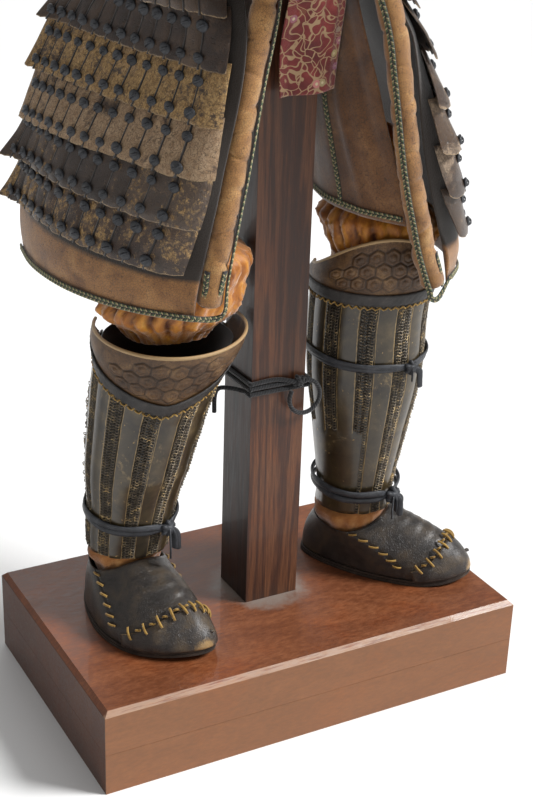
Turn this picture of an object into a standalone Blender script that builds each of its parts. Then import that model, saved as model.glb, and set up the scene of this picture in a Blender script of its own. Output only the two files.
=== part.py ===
"""Samurai armour hung on a wooden stand, in metres, with +Z up.

The armour faces -Y. Left and right are the armour's own, so its left is +X.
"""
import math

import bpy
import bmesh
import numpy as np
from mathutils import Vector, geometry

for old_object in list(bpy.data.objects):
    bpy.data.objects.remove(old_object, do_unlink=True)

SEAM_GAP = 0.0004

# Stand
BASE_WIDTH = 0.650
BASE_DEPTH = 0.4007
BASE_HEIGHT = 0.1265
BASE_SEAM = 0.061
BASE_CHAMFER = 0.0068
POST_WIDTH = 0.0835
POST_DEPTH = 0.0799
POST_X = 0.006
POST_Y = 0.005
POST_TOP = 1.34
NECK_WIDTH = 0.050
HEAD_PEG_WIDTH = 0.036
HEAD_PEG_TOP = 1.8203
HIP_BAR_HALF = 0.1609
HIP_BAR_Z = 1.090
HIP_BAR_HEIGHT = 0.036
HIP_BAR_DEPTH = 0.034
SHOULDER_BAR_HALF = 0.182
SHOULDER_BAR_TOP = 1.530
SHOULDER_BAR_HEIGHT = 0.055
SHOULDER_BAR_DEPTH = 0.026
BODY_Y = 0.052

# Shoes
SHOE_LENGTH = 0.267
SOLE_THICKNESS = 0.008
SHOE_WALL = 0.003
SHOE_COLUMNS = 24

# Lower legs
GUARD_WALL = 0.003
SPLINT_RAISE = 0.0025
SPLINT_PITCH = 36.0
SPLINT_HALF = 9.5
SPLINT_COUNT = 7
LEG_GAP = 0.0019
KNEE_STEP = 0.0028
KNEE_SPREAD = 112.0
HEX_WIDTH = 0.0228
HEX_RING = 0.70
HEX_RISE = 0.0016
HEX_CENTRE_RISE = 0.0026

# Thigh guards
PLATES = 13
ROW_TALL = 0.071
ROW_WALL = 0.0026
ROW_OUT_LOW = 0.0140
ROW_OUT_HIGH = 0.0034
KNOT_HALF = 0.0088
KNOT_RAISE = 0.0042
KNOT_HEIGHTS = (0.0115, 0.0460)
CLOTH_WALL = 0.0026
ROLL_RADIUS = 0.0160
BRAID_HALF_WIDTH = 0.0042
BRAID_HALF_THICK = 0.0016

# Upper body
PANEL_WALL = 0.003
SLEEVE_WALL = 0.0025


def finish(name, colour, roughness, metallic=0.0):
    surface = bpy.data.materials.new(name + "_finish")
    surface.use_nodes = True
    shader = surface.node_tree.nodes["Principled BSDF"]
    shader.inputs["Base Color"].default_value = (*colour, 1.0)
    shader.inputs["Roughness"].default_value = roughness
    shader.inputs["Metallic"].default_value = metallic
    surface.diffuse_color = (*colour, 1.0)
    return surface


def solid(name, shape, colour, roughness, smooth=True, metallic=0.0):
    """One closed body from points and faces, with its faces turned outward."""
    points, faces = shape
    mesh = bpy.data.meshes.new(name)
    mesh.from_pydata([tuple(float(c) for c in p) for p in points], [], faces)
    body = bmesh.new()
    body.from_mesh(mesh)
    loose = [v for v in body.verts if not v.link_faces]
    bmesh.ops.delete(body, geom=loose, context="VERTS")
    bmesh.ops.recalc_face_normals(body, faces=body.faces)
    if body.calc_volume(signed=True) < 0:
        bmesh.ops.reverse_faces(body, faces=body.faces)
    body.to_mesh(mesh)
    body.free()
    mesh.polygons.foreach_set("use_smooth", [smooth] * len(mesh.polygons))
    thing = bpy.data.objects.new(name, mesh)
    bpy.context.scene.collection.objects.link(thing)
    mesh.materials.append(finish(name, colour, roughness, metallic))
    return thing


def wall(outer, inner, around=False, keep=None, split=False):
    """A closed wall between two matching grids; keep says which cells are there."""
    rows = len(outer)
    columns = len(outer[0])
    points = [p for row in outer for p in row] + [p for row in inner for p in row]
    shift = rows * columns
    spans = columns if around else columns - 1
    faces = []
    rim = {}
    for j in range(rows - 1):
        for i in range(spans):
            if keep is not None and not keep(j, i):
                continue
            a = j * columns + i
            b = j * columns + (i + 1) % columns
            c = b + columns
            d = a + columns
            if split:
                faces += [(a, b, c), (a, c, d)]
            else:
                faces.append((a, b, c, d))
            faces.append((shift + d, shift + c, shift + b, shift + a))
            for start, end in ((a, b), (b, c), (c, d), (d, a)):
                if (end, start) in rim:
                    del rim[(end, start)]
                else:
                    rim[(start, end)] = True
    for start, end in rim:
        faces.append((end, start, shift + start, shift + end))
    return points, faces


def normals(grid, around=False):
    """Unit normals of a grid of points, from its rows and columns."""
    g = np.array(grid, float)
    if around:
        along = np.roll(g, -1, axis=1) - np.roll(g, 1, axis=1)
    else:
        along = np.gradient(g, axis=1)
    up = np.gradient(g, axis=0)
    n = np.cross(along, up)
    return n / np.maximum(np.linalg.norm(n, axis=2, keepdims=True), 1e-12)


def moved(grid, distance, around=False):
    return np.array(grid, float) + normals(grid, around) * distance


def sheet(grid, thick, around=False, keep=None):
    """A wall whose outer face is the grid; the wall grows against the normal."""
    return wall(np.array(grid, float), moved(grid, -thick, around), around, keep)


def tube(path, radii, sides=8, closed=False, flat=None):
    """A round tube, or with flat=(normals, half width, half thickness) a flat band."""
    line = np.array(path, float)
    count = len(line)
    if closed:
        ahead = np.roll(line, -1, axis=0) - np.roll(line, 1, axis=0)
    else:
        ahead = np.gradient(line, axis=0)
    ahead /= np.linalg.norm(ahead, axis=1, keepdims=True)
    rings = []
    side = np.array([0.0, 0.0, 1.0])
    if abs(ahead[0] @ side) > 0.8:
        side = np.array([1.0, 0.0, 0.0])
    for k in range(count):
        if flat is not None:
            side = np.array(flat[0][k], float)
        side = side - (side @ ahead[k]) * ahead[k]
        side /= np.linalg.norm(side)
        across = np.cross(ahead[k], side)
        if flat is not None:
            w, t = flat[1], flat[2]
            ring = [line[k] + s * w * across + q * t * side for s, q in ((1, -1), (1, 1), (-1, 1), (-1, -1))]
        else:
            radius = radii[k] if np.ndim(radii) else radii
            turn = [2 * math.pi * i / sides for i in range(sides)]
            ring = [line[k] + radius * (math.cos(a) * side + math.sin(a) * across) for a in turn]
        rings.append(ring)
    sides = len(rings[0])
    points = [p for ring in rings for p in ring]
    faces = []
    for k in range(count if closed else count - 1):
        for i in range(sides):
            a = k * sides + i
            b = k * sides + (i + 1) % sides
            n = ((k + 1) % count) * sides
            faces.append((a, b, n + (i + 1) % sides, n + i))
    if not closed:
        faces.append(tuple(reversed(range(sides))))
        faces.append(tuple(range((count - 1) * sides, count * sides)))
    return points, faces


def box(x0, x1, y0, y1, z0, z1, chamfer=0.0):
    """A box, with its top edges and corners cut back by the chamfer."""
    levels = [(z0, 0.0), (z1 - chamfer, 0.0), (z1, chamfer)] if chamfer else [(z0, 0.0), (z1, 0.0)]
    points = []
    for z, back in levels:
        points += [(x0 + back, y0 + back, z), (x1 - back, y0 + back, z)]
        points += [(x1 - back, y1 - back, z), (x0 + back, y1 - back, z)]
    faces = [(3, 2, 1, 0)]
    for k in range(len(levels) - 1):
        for i in range(4):
            a = 4 * k + i
            b = 4 * k + (i + 1) % 4
            faces.append((a, b, b + 4, a + 4))
    last = 4 * (len(levels) - 1)
    faces.append((last, last + 1, last + 2, last + 3))
    return points, faces


def curve_through(values, t):
    """A smooth curve through evenly spaced values, for t from 0 to 1."""
    v = np.array(values, float)
    place = t * (len(v) - 1)
    k = min(max(int(math.floor(place)), 0), len(v) - 2)
    f = place - k
    p0 = v[max(k - 1, 0)]
    p1 = v[k]
    p2 = v[k + 1]
    p3 = v[min(k + 2, len(v) - 1)]
    return 0.5 * (2 * p1 + (p2 - p0) * f + (2 * p0 - 5 * p1 + 4 * p2 - p3) * f ** 2
                  + (3 * p1 - p0 - 3 * p2 + p3) * f ** 3)


def by_height(table, z):
    """The row of a table whose first column is height, worked out at z."""
    rows = np.array(table, float)
    return np.array([np.interp(z, rows[:, 0], rows[:, c]) for c in range(1, rows.shape[1])])


def on_ring(x, y, radius_side, radius_front, angle, yaw, z):
    """A point on an upright ring; the angle is in degrees from the way that it faces."""
    a = math.radians(angle)
    w = math.radians(yaw)
    s = radius_side * math.sin(a)
    f = radius_front * math.cos(a)
    return (x + s * math.cos(w) + f * math.sin(w), y + s * math.sin(w) - f * math.cos(w), z)


def make_base():
    half_x = BASE_WIDTH / 2
    half_y = BASE_DEPTH / 2
    lower = box(-half_x, half_x, -half_y, half_y, 0.0, BASE_SEAM)
    upper = box(-half_x, half_x, -half_y, half_y, BASE_SEAM + SEAM_GAP, BASE_HEIGHT, BASE_CHAMFER)
    solid("base_lower", lower, (0.30, 0.13, 0.055), 0.42, smooth=False)
    solid("base_upper", upper, (0.33, 0.14, 0.06), 0.38, smooth=False)


def make_post():
    half_x = POST_WIDTH / 2
    half_y = POST_DEPTH / 2
    low = BASE_HEIGHT + SEAM_GAP
    shaft = box(POST_X - half_x, POST_X + half_x, POST_Y - half_y, POST_Y + half_y, low, POST_TOP)
    post = solid("post", shaft, (0.17, 0.065, 0.03), 0.40, smooth=False)
    half_neck = NECK_WIDTH / 2
    neck_y = 0.036
    half_peg = HEAD_PEG_WIDTH / 2
    bar_y = (BODY_Y - HIP_BAR_DEPTH / 2, BODY_Y + HIP_BAR_DEPTH / 2)
    yoke_y = (BODY_Y - SHOULDER_BAR_DEPTH / 2, BODY_Y + SHOULDER_BAR_DEPTH / 2)
    hip = (HIP_BAR_Z - HIP_BAR_HEIGHT / 2, HIP_BAR_Z + HIP_BAR_HEIGHT / 2)
    extra = [
        box(-half_neck, half_neck, neck_y - half_neck, neck_y + half_neck, POST_TOP - 0.05, 1.70),
        box(-half_peg, half_peg, neck_y - half_peg, neck_y + half_peg, 1.68, HEAD_PEG_TOP),
        box(-HIP_BAR_HALF, HIP_BAR_HALF, *bar_y, *hip),
        box(-SHOULDER_BAR_HALF, SHOULDER_BAR_HALF, *yoke_y, SHOULDER_BAR_TOP - SHOULDER_BAR_HEIGHT, SHOULDER_BAR_TOP),
    ]
    for k, shape in enumerate(extra):
        piece = solid("joint_block_%d" % k, shape, (0.17, 0.065, 0.03), 0.4, smooth=False)
        piece.hide_render = True
        piece.display_type = "WIRE"
        join = post.modifiers.new("join_%d" % k, "BOOLEAN")
        join.operation = "UNION"
        join.solver = "EXACT"
        join.object = piece


def make_post_tie():
    """A cord wound twice round the post, with a loop at the front and one free end."""
    thick = 0.0032
    corner = 0.006
    x0 = POST_X - POST_WIDTH / 2 - thick - 0.0004
    x1 = POST_X + POST_WIDTH / 2 + thick + 0.0004
    y0 = POST_Y - POST_DEPTH / 2 - thick - 0.0004
    y1 = POST_Y + POST_DEPTH / 2 + thick + 0.0004
    near = corner * 0.1
    round_post = [(x0, y0 + corner), (x0 + near, y0 + near), (x0 + corner, y0)]
    round_post += [(x1 - corner, y0), (x1 - near, y0 + near), (x1, y0 + corner)]
    round_post += [(x1, y1 - corner), (x1 - near, y1 - near), (x1 - corner, y1)]
    round_post += [(x0 + corner, y1), (x0 + near, y1 - near), (x0, y1 - corner)]
    start = 0.4570
    rise = 0.0084
    path = [(-0.0745, 0.0, 0.424), (-0.0740, 0.0, 0.450), (-0.0680, -0.002, 0.4600), (-0.0530, -0.010, 0.4600)]
    path.append((x0 - 0.0004, -0.020, start))
    for turn in range(2):
        for k, (x, y) in enumerate(round_post):
            path.append((x, y, start + rise * (turn + k / 12)))
    high = start + rise * 2.02
    path += [(x, y, high) for x, y in round_post[:3]]
    path.append((POST_X - 0.004, y0 - 0.0004, high + 0.001))
    loop_x = 0.0420
    loop_z = 0.4455
    loop_radius = 0.0245
    for k in range(11):
        a = math.radians(112 - 322 * k / 10)
        path.append((loop_x + loop_radius * math.cos(a), y0 - 0.0072 - 0.0015 * k / 10,
                     loop_z + loop_radius * math.sin(a)))
    solid("post_tie", tube(path, thick, sides=5), (0.02, 0.02, 0.022), 0.5)


# Each foot: heel x, heel y, and the way that it points, in degrees from -Y toward +X.
# Then how far the toe tip bends to the foot's +X side, and half the sole's width.
FEET = {
    "right": (-0.203, 0.122, 2.0, 0.040, 0.063),
    "left": (0.122, 0.080, 42.0, 0.004, 0.059),
}
# Leg tables: height, centre x, centre y, radius of the guard's mail.
LEGS = {
    "right": [
        (0.150, -0.189, 0.046, 0.038),
        (0.205, -0.188, 0.045, 0.0517),
        (0.250, -0.186, 0.043, 0.0585),
        (0.300, -0.183, 0.036, 0.0610),
        (0.355, -0.178, 0.028, 0.0700),
        (0.450, -0.168, 0.0125, 0.0790),
        (0.500, -0.160, 0.002, 0.0850),
        (0.570, -0.147, -0.011, 0.0940),
    ],
    "left": [
        (0.150, 0.172, 0.020, 0.038),
        (0.205, 0.172, 0.018, 0.0548),
        (0.260, 0.169, 0.010, 0.0540),
        (0.364, 0.170, 0.007, 0.0685),
        (0.450, 0.171, 0.006, 0.0810),
        (0.540, 0.1716, 0.0064, 0.0825),
        (0.600, 0.176, 0.004, 0.0840),
        (0.680, 0.1786, 0.0025, 0.0850),
    ],
}
# Each knee: facing angle, then lower edge and rim heights at the front and at the sides, and rim radius.
KNEES = {
    "right": (-14.0, 0.479, 0.552, 0.561, 0.570, 0.1020),
    "left": (-18.0, 0.583, 0.583, 0.668, 0.604, 0.0860),
}
GUARD_YAW = {"right": -5.0, "left": -14.0}
GUARD_HEM = {"right": 0.228, "left": 0.232}


def foot_point(side, forward, across, z):
    heel_x, heel_y, yaw = FEET[side][:3]
    w = math.radians(yaw)
    x = heel_x + forward * math.sin(w) + across * math.cos(w)
    y = heel_y - forward * math.cos(w) + across * math.sin(w)
    return (x, y, z)


def sole_outline(side, angle, grow=0.0):
    """Forward and sideways place on the sole's edge; angle 0 is the toe tip."""
    widest = 0.60 * SHOE_LENGTH
    bend, half_width = FEET[side][3:]
    c = math.cos(angle)
    s = math.sin(angle)
    if c > 0:
        forward = widest + (SHOE_LENGTH - widest + grow) * c ** 0.86
        across = (half_width + grow) * math.copysign(abs(s) ** 1.12, s)
    else:
        forward = widest + (widest + grow) * c
        across = (half_width + grow) * s * (1.0 - 0.10 * c * c)
    across += bend * max(0.0, (forward / SHOE_LENGTH - 0.45) / 0.55) ** 2
    return forward, across


def toe_lift(forward):
    """How far the toe end is turned up."""
    return 0.010 * max(0.0, (forward / SHOE_LENGTH - 0.72) / 0.28) ** 2


def shoe_point(side, i, t, out=0.0):
    """A point on the shoe's upper: column i round the foot, t from sole edge to collar."""
    angle = 2 * math.pi * i / SHOE_COLUMNS
    forward, across = sole_outline(side, angle, out - 0.002)
    heel_x, heel_y, yaw = FEET[side][:3]
    leg_x, leg_y, _ = by_height(LEGS[side], 0.205)
    w = math.radians(yaw)
    ankle_f = (leg_x - heel_x) * math.sin(w) - (leg_y - heel_y) * math.cos(w)
    ankle_a = (leg_x - heel_x) * math.cos(w) + (leg_y - heel_y) * math.sin(w)
    collar_f = ankle_f + (0.0560 + out) * math.cos(angle)
    collar_a = ankle_a + (0.0530 + out) * math.sin(angle)
    front = max(0.0, math.cos(angle))
    collar_z = 0.062 + 0.027 * front ** 2 + 0.006 * max(0.0, -math.cos(angle))
    bend = t * math.pi / 2
    lean = 1.0 - math.cos(bend)
    rise = (0.62 * math.sin(bend) + 0.38 * lean) if front > 0 else math.sin(bend)
    rise = front * rise + (1 - front) * (0.75 * t + 0.25 * math.sin(bend))
    f = forward + (collar_f - forward) * lean
    a = across + (collar_a - across) * lean
    low = BASE_HEIGHT + SOLE_THICKNESS + 2 * SEAM_GAP
    z = low + toe_lift(forward) * (1 - t) + (collar_z) * rise + out * rise
    return foot_point(side, f, a, z)


CAP_COLUMNS = 5


def seam_level(i):
    """Where the toe cap's seam crosses column i."""
    k = min(i, SHOE_COLUMNS - i)
    if k > CAP_COLUMNS:
        return 0.20
    return 0.20 + 0.30 * math.cos(math.pi / 2 * k / CAP_COLUMNS)


def shoe_levels(i):
    seam = seam_level(i)
    return [0.0, seam * 0.5, seam, seam + (1 - seam) * 0.5, 1.0]


def make_shoe(side):
    tag = "_right" if side == "right" else "_left"
    ground = BASE_HEIGHT + SEAM_GAP
    outline = [sole_outline(side, 2 * math.pi * i / SHOE_COLUMNS) for i in range(SHOE_COLUMNS)]
    under = [foot_point(side, f, a, ground + toe_lift(f)) for f, a in outline]
    over = [foot_point(side, f, a, ground + SOLE_THICKNESS + toe_lift(f)) for f, a in outline]
    count = SHOE_COLUMNS
    faces = []
    for i in range(count):
        j = (i + 1) % count
        faces.append((i, j, count + j, count + i))
    for i in range(1, count // 2):
        a, b = i, count - i
        c, d = i + 1, count - i - 1
        if c == d:
            faces.append((a, c, b))
            faces.append((count + b, count + c, count + a))
        else:
            faces.append((a, c, d, b))
            faces.append((count + b, count + d, count + c, count + a))
    faces.append((0, 1, count - 1))
    faces.append((count + count - 1, count + 1, count))
    solid("sole" + tag, (under + over, faces), (0.045, 0.035, 0.028), 0.6)

    outer = [[shoe_point(side, i, shoe_levels(i)[k]) for i in range(count)] for k in range(5)]
    inner = [[shoe_point(side, i, shoe_levels(i)[k], -SHOE_WALL) for i in range(count)] for k in range(5)]
    solid("shoe" + tag, wall(outer, inner, around=True), (0.07, 0.058, 0.048), 0.45)

    columns = list(range(-CAP_COLUMNS, CAP_COLUMNS + 1))
    face = [[shoe_point(side, i % count, shoe_levels(i % count)[k], SEAM_GAP + 0.0032) for i in columns]
            for k in range(3)]
    back = [[shoe_point(side, i % count, shoe_levels(i % count)[k], SEAM_GAP + 0.0008) for i in columns]
            for k in range(3)]
    solid("toe_cap" + tag, wall(face, back), (0.085, 0.072, 0.058), 0.42)


def leg_ring(side, angle, z, out, yaw):
    x, y, radius = by_height(LEGS[side], z)
    return on_ring(x, y, radius + out, radius + out, angle, yaw, z)


def make_legging(side):
    tag = "_right" if side == "right" else "_left"
    inset = -(GUARD_WALL + LEG_GAP)
    hem = GUARD_HEM[side]
    # height, how far the cloth puffs outside the inset leg
    heights = [(0.165, 0.0), (0.200, 0.0), (hem - 0.019, 0.006), (hem - 0.010, 0.007), (hem - 0.002, 0.0),
               (0.300, 0.0), (0.434, 0.0)]
    count = 14
    outer = []
    inner = []
    for z, puff in heights:
        ring = []
        back = []
        for i in range(count):
            angle = 360 * i / count
            side_on = 1.0 - max(0.0, math.cos(math.radians(angle - FEET[side][2]))) ** 0.5
            ring.append(leg_ring(side, angle, z, inset + puff * side_on, 0.0))
            back.append(leg_ring(side, angle, z, inset + puff * side_on - 0.002, 0.0))
        outer.append(ring)
        inner.append(back)
    solid("legging" + tag, wall(outer, inner, around=True), (0.40, 0.17, 0.055), 0.85)


def knee_low(side, angle):
    """The height of the knee guard's lower edge, by angle from its front."""
    low_front, low_side = KNEES[side][1], KNEES[side][2]
    return low_front + (low_side - low_front) * min(1.0, abs(angle) / KNEE_SPREAD) ** 1.25


def knee_rim(side, angle):
    top_front, top_side = KNEES[side][3], KNEES[side][4]
    return top_front + (top_side - top_front) * math.sin(min(1.0, abs(angle) / KNEE_SPREAD) * math.pi / 2) ** 2


def knee_point(side, angle, v, out=0.0):
    """A point on the knee guard's outside, v from its lower edge to its rim."""
    yaw = KNEES[side][0]
    low = knee_low(side, angle)
    rim = knee_rim(side, angle)
    z = low + (rim - low) * v
    x, y, radius = by_height(LEGS[side], z)
    at_low = by_height(LEGS[side], low)[2] + KNEE_STEP
    flare = at_low + (KNEES[side][5] - at_low) * (v if side == "right" else v * (2 - v))
    cup = 0.0045 * math.sin(math.pi * v)
    r = flare + cup + out
    return on_ring(x, y, r, r, angle, yaw, z)


def make_shin_guard(side):
    tag = "_right" if side == "right" else "_left"
    yaw = GUARD_YAW[side]
    turn = yaw - KNEES[side][0]
    columns = []
    first = -SPLINT_PITCH * (SPLINT_COUNT - 1) / 2
    for k in range(SPLINT_COUNT):
        centre = first + k * SPLINT_PITCH
        columns.append((centre - SPLINT_HALF - 1.5, 0.0))
        columns.append((centre - SPLINT_HALF, SPLINT_RAISE))
        columns.append((centre + SPLINT_HALF, SPLINT_RAISE))
        columns.append((centre + SPLINT_HALF + 1.5, 0.0))
    columns = [(first - 18.0, 0.0)] + columns + [(-first + 18.0, 0.0)]
    levels = 6
    outer = []
    inner = []
    for k in range(levels):
        v = k / (levels - 1)
        ring = []
        back = []
        for angle, raised in columns:
            top = knee_low(side, max(-KNEE_SPREAD, min(KNEE_SPREAD, angle + turn))) - 0.0012
            z = GUARD_HEM[side] + (top - GUARD_HEM[side]) * v
            ring.append(leg_ring(side, angle, z, raised, yaw))
            back.append(leg_ring(side, angle, z, -GUARD_WALL, yaw))
        outer.append(ring)
        inner.append(back)
    solid("shin_guard" + tag, wall(outer, inner), (0.105, 0.088, 0.055), 0.5)


def hexagons():
    """Centres of the hexagons in a knee guard's field, as arc and height from its middle."""
    rows = [(-1, 7), (0, 8), (1, 5)]
    centres = []
    for row, count in rows:
        for k in range(count):
            centres.append((HEX_WIDTH * (k - (count - 1) / 2), HEX_WIDTH * 0.866 * row))
    return centres


def make_knee_guard(side):
    """A leather cup with a field of hexagons raised in its outside."""
    tag = "_right" if side == "right" else "_left"
    arc_radius = 0.092
    half_arc = math.radians(KNEE_SPREAD) * arc_radius
    tall = 0.080
    across = 16
    up = 4
    points = []
    heights = []
    lookup = {}

    def add(x, y, raised):
        key = (round(x * 20000), round(y * 20000))
        if key not in lookup:
            lookup[key] = len(points)
            points.append((x, y))
            heights.append(raised)
        return lookup[key]

    for j in range(up + 1):
        for i in range(across + 1):
            if j in (0, up) or i in (0, across):
                add(-half_arc + 2 * half_arc * i / across, -tall / 2 + tall * j / up, 0.0)
    corner = HEX_WIDTH / math.sqrt(3)
    shrink = 0.90
    for cx, cy in hexagons():
        for k in range(6):
            a = math.radians(30 + 60 * k)
            add(cx + corner * math.cos(a), (cy + corner * math.sin(a)) * shrink, 0.0)
            add(cx + corner * HEX_RING * math.cos(a), (cy + corner * HEX_RING * math.sin(a)) * shrink, HEX_RISE)
        add(cx, cy * shrink, HEX_CENTRE_RISE)
    for x, y in ((-0.110, -0.012), (0.110, -0.012), (-0.128, 0.014), (0.128, 0.014), (-0.150, -0.008), (0.150, -0.008)):
        add(x, y, 0.0)
    found = geometry.delaunay_2d_cdt([Vector(p) for p in points], [], [], 0, 1e-7)
    flat, triangles, origins = found[0], found[2], found[3]
    outer = []
    for k, place in enumerate(flat):
        raised = heights[origins[k][0]]
        angle = place.x / half_arc * KNEE_SPREAD
        outer.append(knee_point(side, angle, place.y / tall + 0.5, raised))
    grid_inner = []
    for j in range(up + 1):
        for i in range(across + 1):
            angle = -KNEE_SPREAD + 2 * KNEE_SPREAD * i / across
            grid_inner.append(knee_point(side, angle, j / up, -GUARD_WALL))
    shift = len(outer)
    faces = [tuple(t) for t in triangles]
    wide = across + 1
    for j in range(up):
        for i in range(across):
            a = shift + j * wide + i
            faces.append((a, a + wide, a + wide + 1, a + 1))
    place_of = {}
    for k, place in enumerate(flat):
        place_of[(round(place.x * 20000), round(place.y * 20000))] = k

    def rim(i, j):
        x = -half_arc + 2 * half_arc * i / across
        y = -tall / 2 + tall * j / up
        return place_of[(round(x * 20000), round(y * 20000))], shift + j * wide + i

    loop = [(i, 0) for i in range(across)] + [(across, j) for j in range(up)]
    loop += [(i, up) for i in range(across, 0, -1)] + [(0, j) for j in range(up, 0, -1)]
    for k, here in enumerate(loop):
        there = loop[(k + 1) % len(loop)]
        a, a_in = rim(*here)
        b, b_in = rim(*there)
        faces.append((b, a, a_in, b_in))
    solid("knee_guard" + tag, (outer + grid_inner, faces), (0.26, 0.165, 0.075), 0.55)


def make_knee_border(side):
    """The strap over the join of the knee guard and the shin guard."""
    tag = "_right" if side == "right" else "_left"
    yaw = KNEES[side][0]
    count = 28
    clear = SPLINT_RAISE + 0.0009
    outer = []
    inner = []
    for k, (drop, thick) in enumerate(((-0.0095, 0.0024), (0.0, 0.0034), (0.0065, 0.0024))):
        ring = []
        back = []
        for i in range(count + 1):
            angle = -KNEE_SPREAD + 2 * KNEE_SPREAD * i / count
            low = knee_low(side, angle)
            if drop <= 0:
                x, y, radius = by_height(LEGS[side], low + drop)
                r = radius + clear
                ring.append(on_ring(x, y, r + thick, r + thick, angle, yaw, low + drop))
                back.append(on_ring(x, y, r, r, angle, yaw, low + drop))
            else:
                v = drop / (knee_rim(side, angle) - low)
                ring.append(knee_point(side, angle, v, 0.0011 + thick))
                back.append(knee_point(side, angle, v, 0.0011))
        outer.append(ring)
        inner.append(back)
    solid("knee_border" + tag, wall(outer, inner), (0.035, 0.037, 0.040), 0.5)


def make_leg_tie(name, side, z, slope, knot_angle, clear, knot=0.0105):
    """A cord tied round the guard, thick where its knot is."""
    count = 22
    radius = 0.0042
    path = []
    radii = []
    for i in range(count):
        angle = 360 * i / count
        near = abs((angle - knot_angle + 180) % 360 - 180)
        swell = math.exp(-(near / 13.0) ** 2)
        thick = radius + (knot - radius) * swell
        height = z + slope * math.cos(math.radians(angle - knot_angle))
        path.append(leg_ring(side, angle, height, SPLINT_RAISE + thick + clear, 0.0))
        radii.append(thick)
    solid(name, tube(path, radii, sides=5, closed=True), (0.03, 0.032, 0.035), 0.55)


# Sections of each thigh guard's cloth: height, then x and y of six points from the front edge round to the back.
THIGHS = {
    "right": [
        (0.615, (-0.170, -0.127), (-0.214, -0.080), (-0.250, -0.014), (-0.272, 0.060), (-0.277, 0.145), (-0.264, 0.225)),
        (0.800, (-0.141, -0.144), (-0.175, -0.125), (-0.205, -0.034), (-0.230, 0.055), (-0.246, 0.140), (-0.250, 0.225)),
        (0.950, (-0.110, -0.135), (-0.130, -0.094), (-0.150, -0.020), (-0.168, 0.060), (-0.187, 0.142), (-0.202, 0.225)),
        (1.052, (-0.090, -0.071), (-0.125, -0.045), (-0.152, -0.009), (-0.1665, 0.052), (-0.157, 0.103), (-0.132, 0.142)),
        (1.095, (-0.090, -0.071), (-0.125, -0.045), (-0.152, -0.009), (-0.1665, 0.052), (-0.157, 0.103), (-0.132, 0.142)),
    ],
    "left": [
        (0.615, (0.210, -0.126), (0.248, -0.090), (0.276, -0.030), (0.292, 0.040), (0.287, 0.120), (0.262, 0.195)),
        (0.800, (0.149, -0.140), (0.194, -0.126), (0.222, -0.050), (0.240, 0.030), (0.248, 0.120), (0.247, 0.210)),
        (0.950, (0.123, -0.134), (0.146, -0.098), (0.158, -0.025), (0.172, 0.055), (0.187, 0.135), (0.200, 0.215)),
        (1.052, (0.090, -0.071), (0.125, -0.045), (0.152, -0.009), (0.1665, 0.052), (0.157, 0.103), (0.132, 0.142)),
        (1.095, (0.090, -0.071), (0.125, -0.045), (0.152, -0.009), (0.1665, 0.052), (0.157, 0.103), (0.132, 0.142)),
    ],
}
# The padded roll down each front edge: height, x, y.
ROLLS = {
    "right": [(0.630, -0.1456, -0.120), (0.660, -0.1436, -0.1255), (0.710, -0.1366, -0.129), (0.800, -0.1196, -0.129),
              (0.900, -0.1006, -0.125), (1.000, -0.0766, -0.115), (1.045, -0.070, -0.104)],
    "left": [(0.612, 0.187, -0.127), (0.660, 0.166, -0.131), (0.765, 0.136, -0.132), (0.870, 0.116, -0.130),
             (0.950, 0.102, -0.126), (1.000, 0.090, -0.116), (1.045, 0.070, -0.104)],
}
# Sections of each inner thigh panel: height, then x and y of five points from the roll to the back.
INNERS = {
    "right": [
        (0.705, (-0.1225, -0.1178), (-0.100, -0.060), (-0.092, 0.010), (-0.105, 0.085), (-0.150, 0.150)),
        (0.850, (-0.0968, -0.1124), (-0.076, -0.055), (-0.070, 0.010), (-0.082, 0.075), (-0.120, 0.135)),
        (1.040, (-0.057, -0.091), (-0.060, -0.045), (-0.056, 0.010), (-0.062, 0.060), (-0.090, 0.105)),
    ],
    "left": [
        (0.700, (0.1422, -0.1190), (0.112, -0.060), (0.100, 0.010), (0.116, 0.085), (0.160, 0.150)),
        (0.850, (0.102, -0.113), (0.080, -0.055), (0.072, 0.010), (0.082, 0.075), (0.120, 0.135)),
        (1.040, (0.057, -0.091), (0.060, -0.045), (0.056, 0.010), (0.062, 0.060), (0.090, 0.105)),
    ],
}
ROW_START = 0.032
ROW_END = 0.985
CLOTH_LEVELS = [0.615, 0.680, 0.740, 0.800, 0.860, 0.920, 0.980, 1.052, 1.095]
LEVEL_LIFT = [0.0, 0.022, 0.018, 0.006, 0.014, 0.018, 0.008, 0.0, 0.0]


def section_point(table, u, z):
    heights = [row[0] for row in table]
    place = np.interp(z, heights, [k / (len(table) - 1) for k in range(len(table))])
    per_row = [curve_through(row[1:], u) for row in table]
    return curve_through(per_row, place)


def cloth_columns(side):
    """Places along a section that cut it into plates of equal width."""
    fine = np.linspace(0.0, 1.0, 201)
    line = np.array([section_point(THIGHS[side], u, 0.800) for u in fine])
    run = np.concatenate([[0.0], np.cumsum(np.linalg.norm(np.diff(line, axis=0), axis=1))])
    run /= run[-1]
    ends = [0.0] + [ROW_START + (ROW_END - ROW_START) * k / PLATES for k in range(PLATES + 1)] + [1.0]
    return [float(np.interp(end, run, fine)) for end in ends]


def cloth_grid(side):
    """The cloth's outside: a row for each height, from the hem up."""
    grid = []
    columns = cloth_columns(side)
    for z, lift in zip(CLOTH_LEVELS, LEVEL_LIFT):
        row = []
        for u in columns:
            x, y = section_point(THIGHS[side], u, z)
            row.append((x, y, z + lift * u * u))
        grid.append(row)
    return np.array(grid)


def outward(side, grid):
    """Level unit vectors that point away from the thigh, for each point of the grid."""
    along = np.gradient(grid, axis=1)
    n = np.stack([-along[:, :, 1], along[:, :, 0], np.zeros(along.shape[:2])], axis=2)
    if side == "right":
        n = -n
    n = -n
    return n / np.linalg.norm(n, axis=2, keepdims=True)


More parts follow.
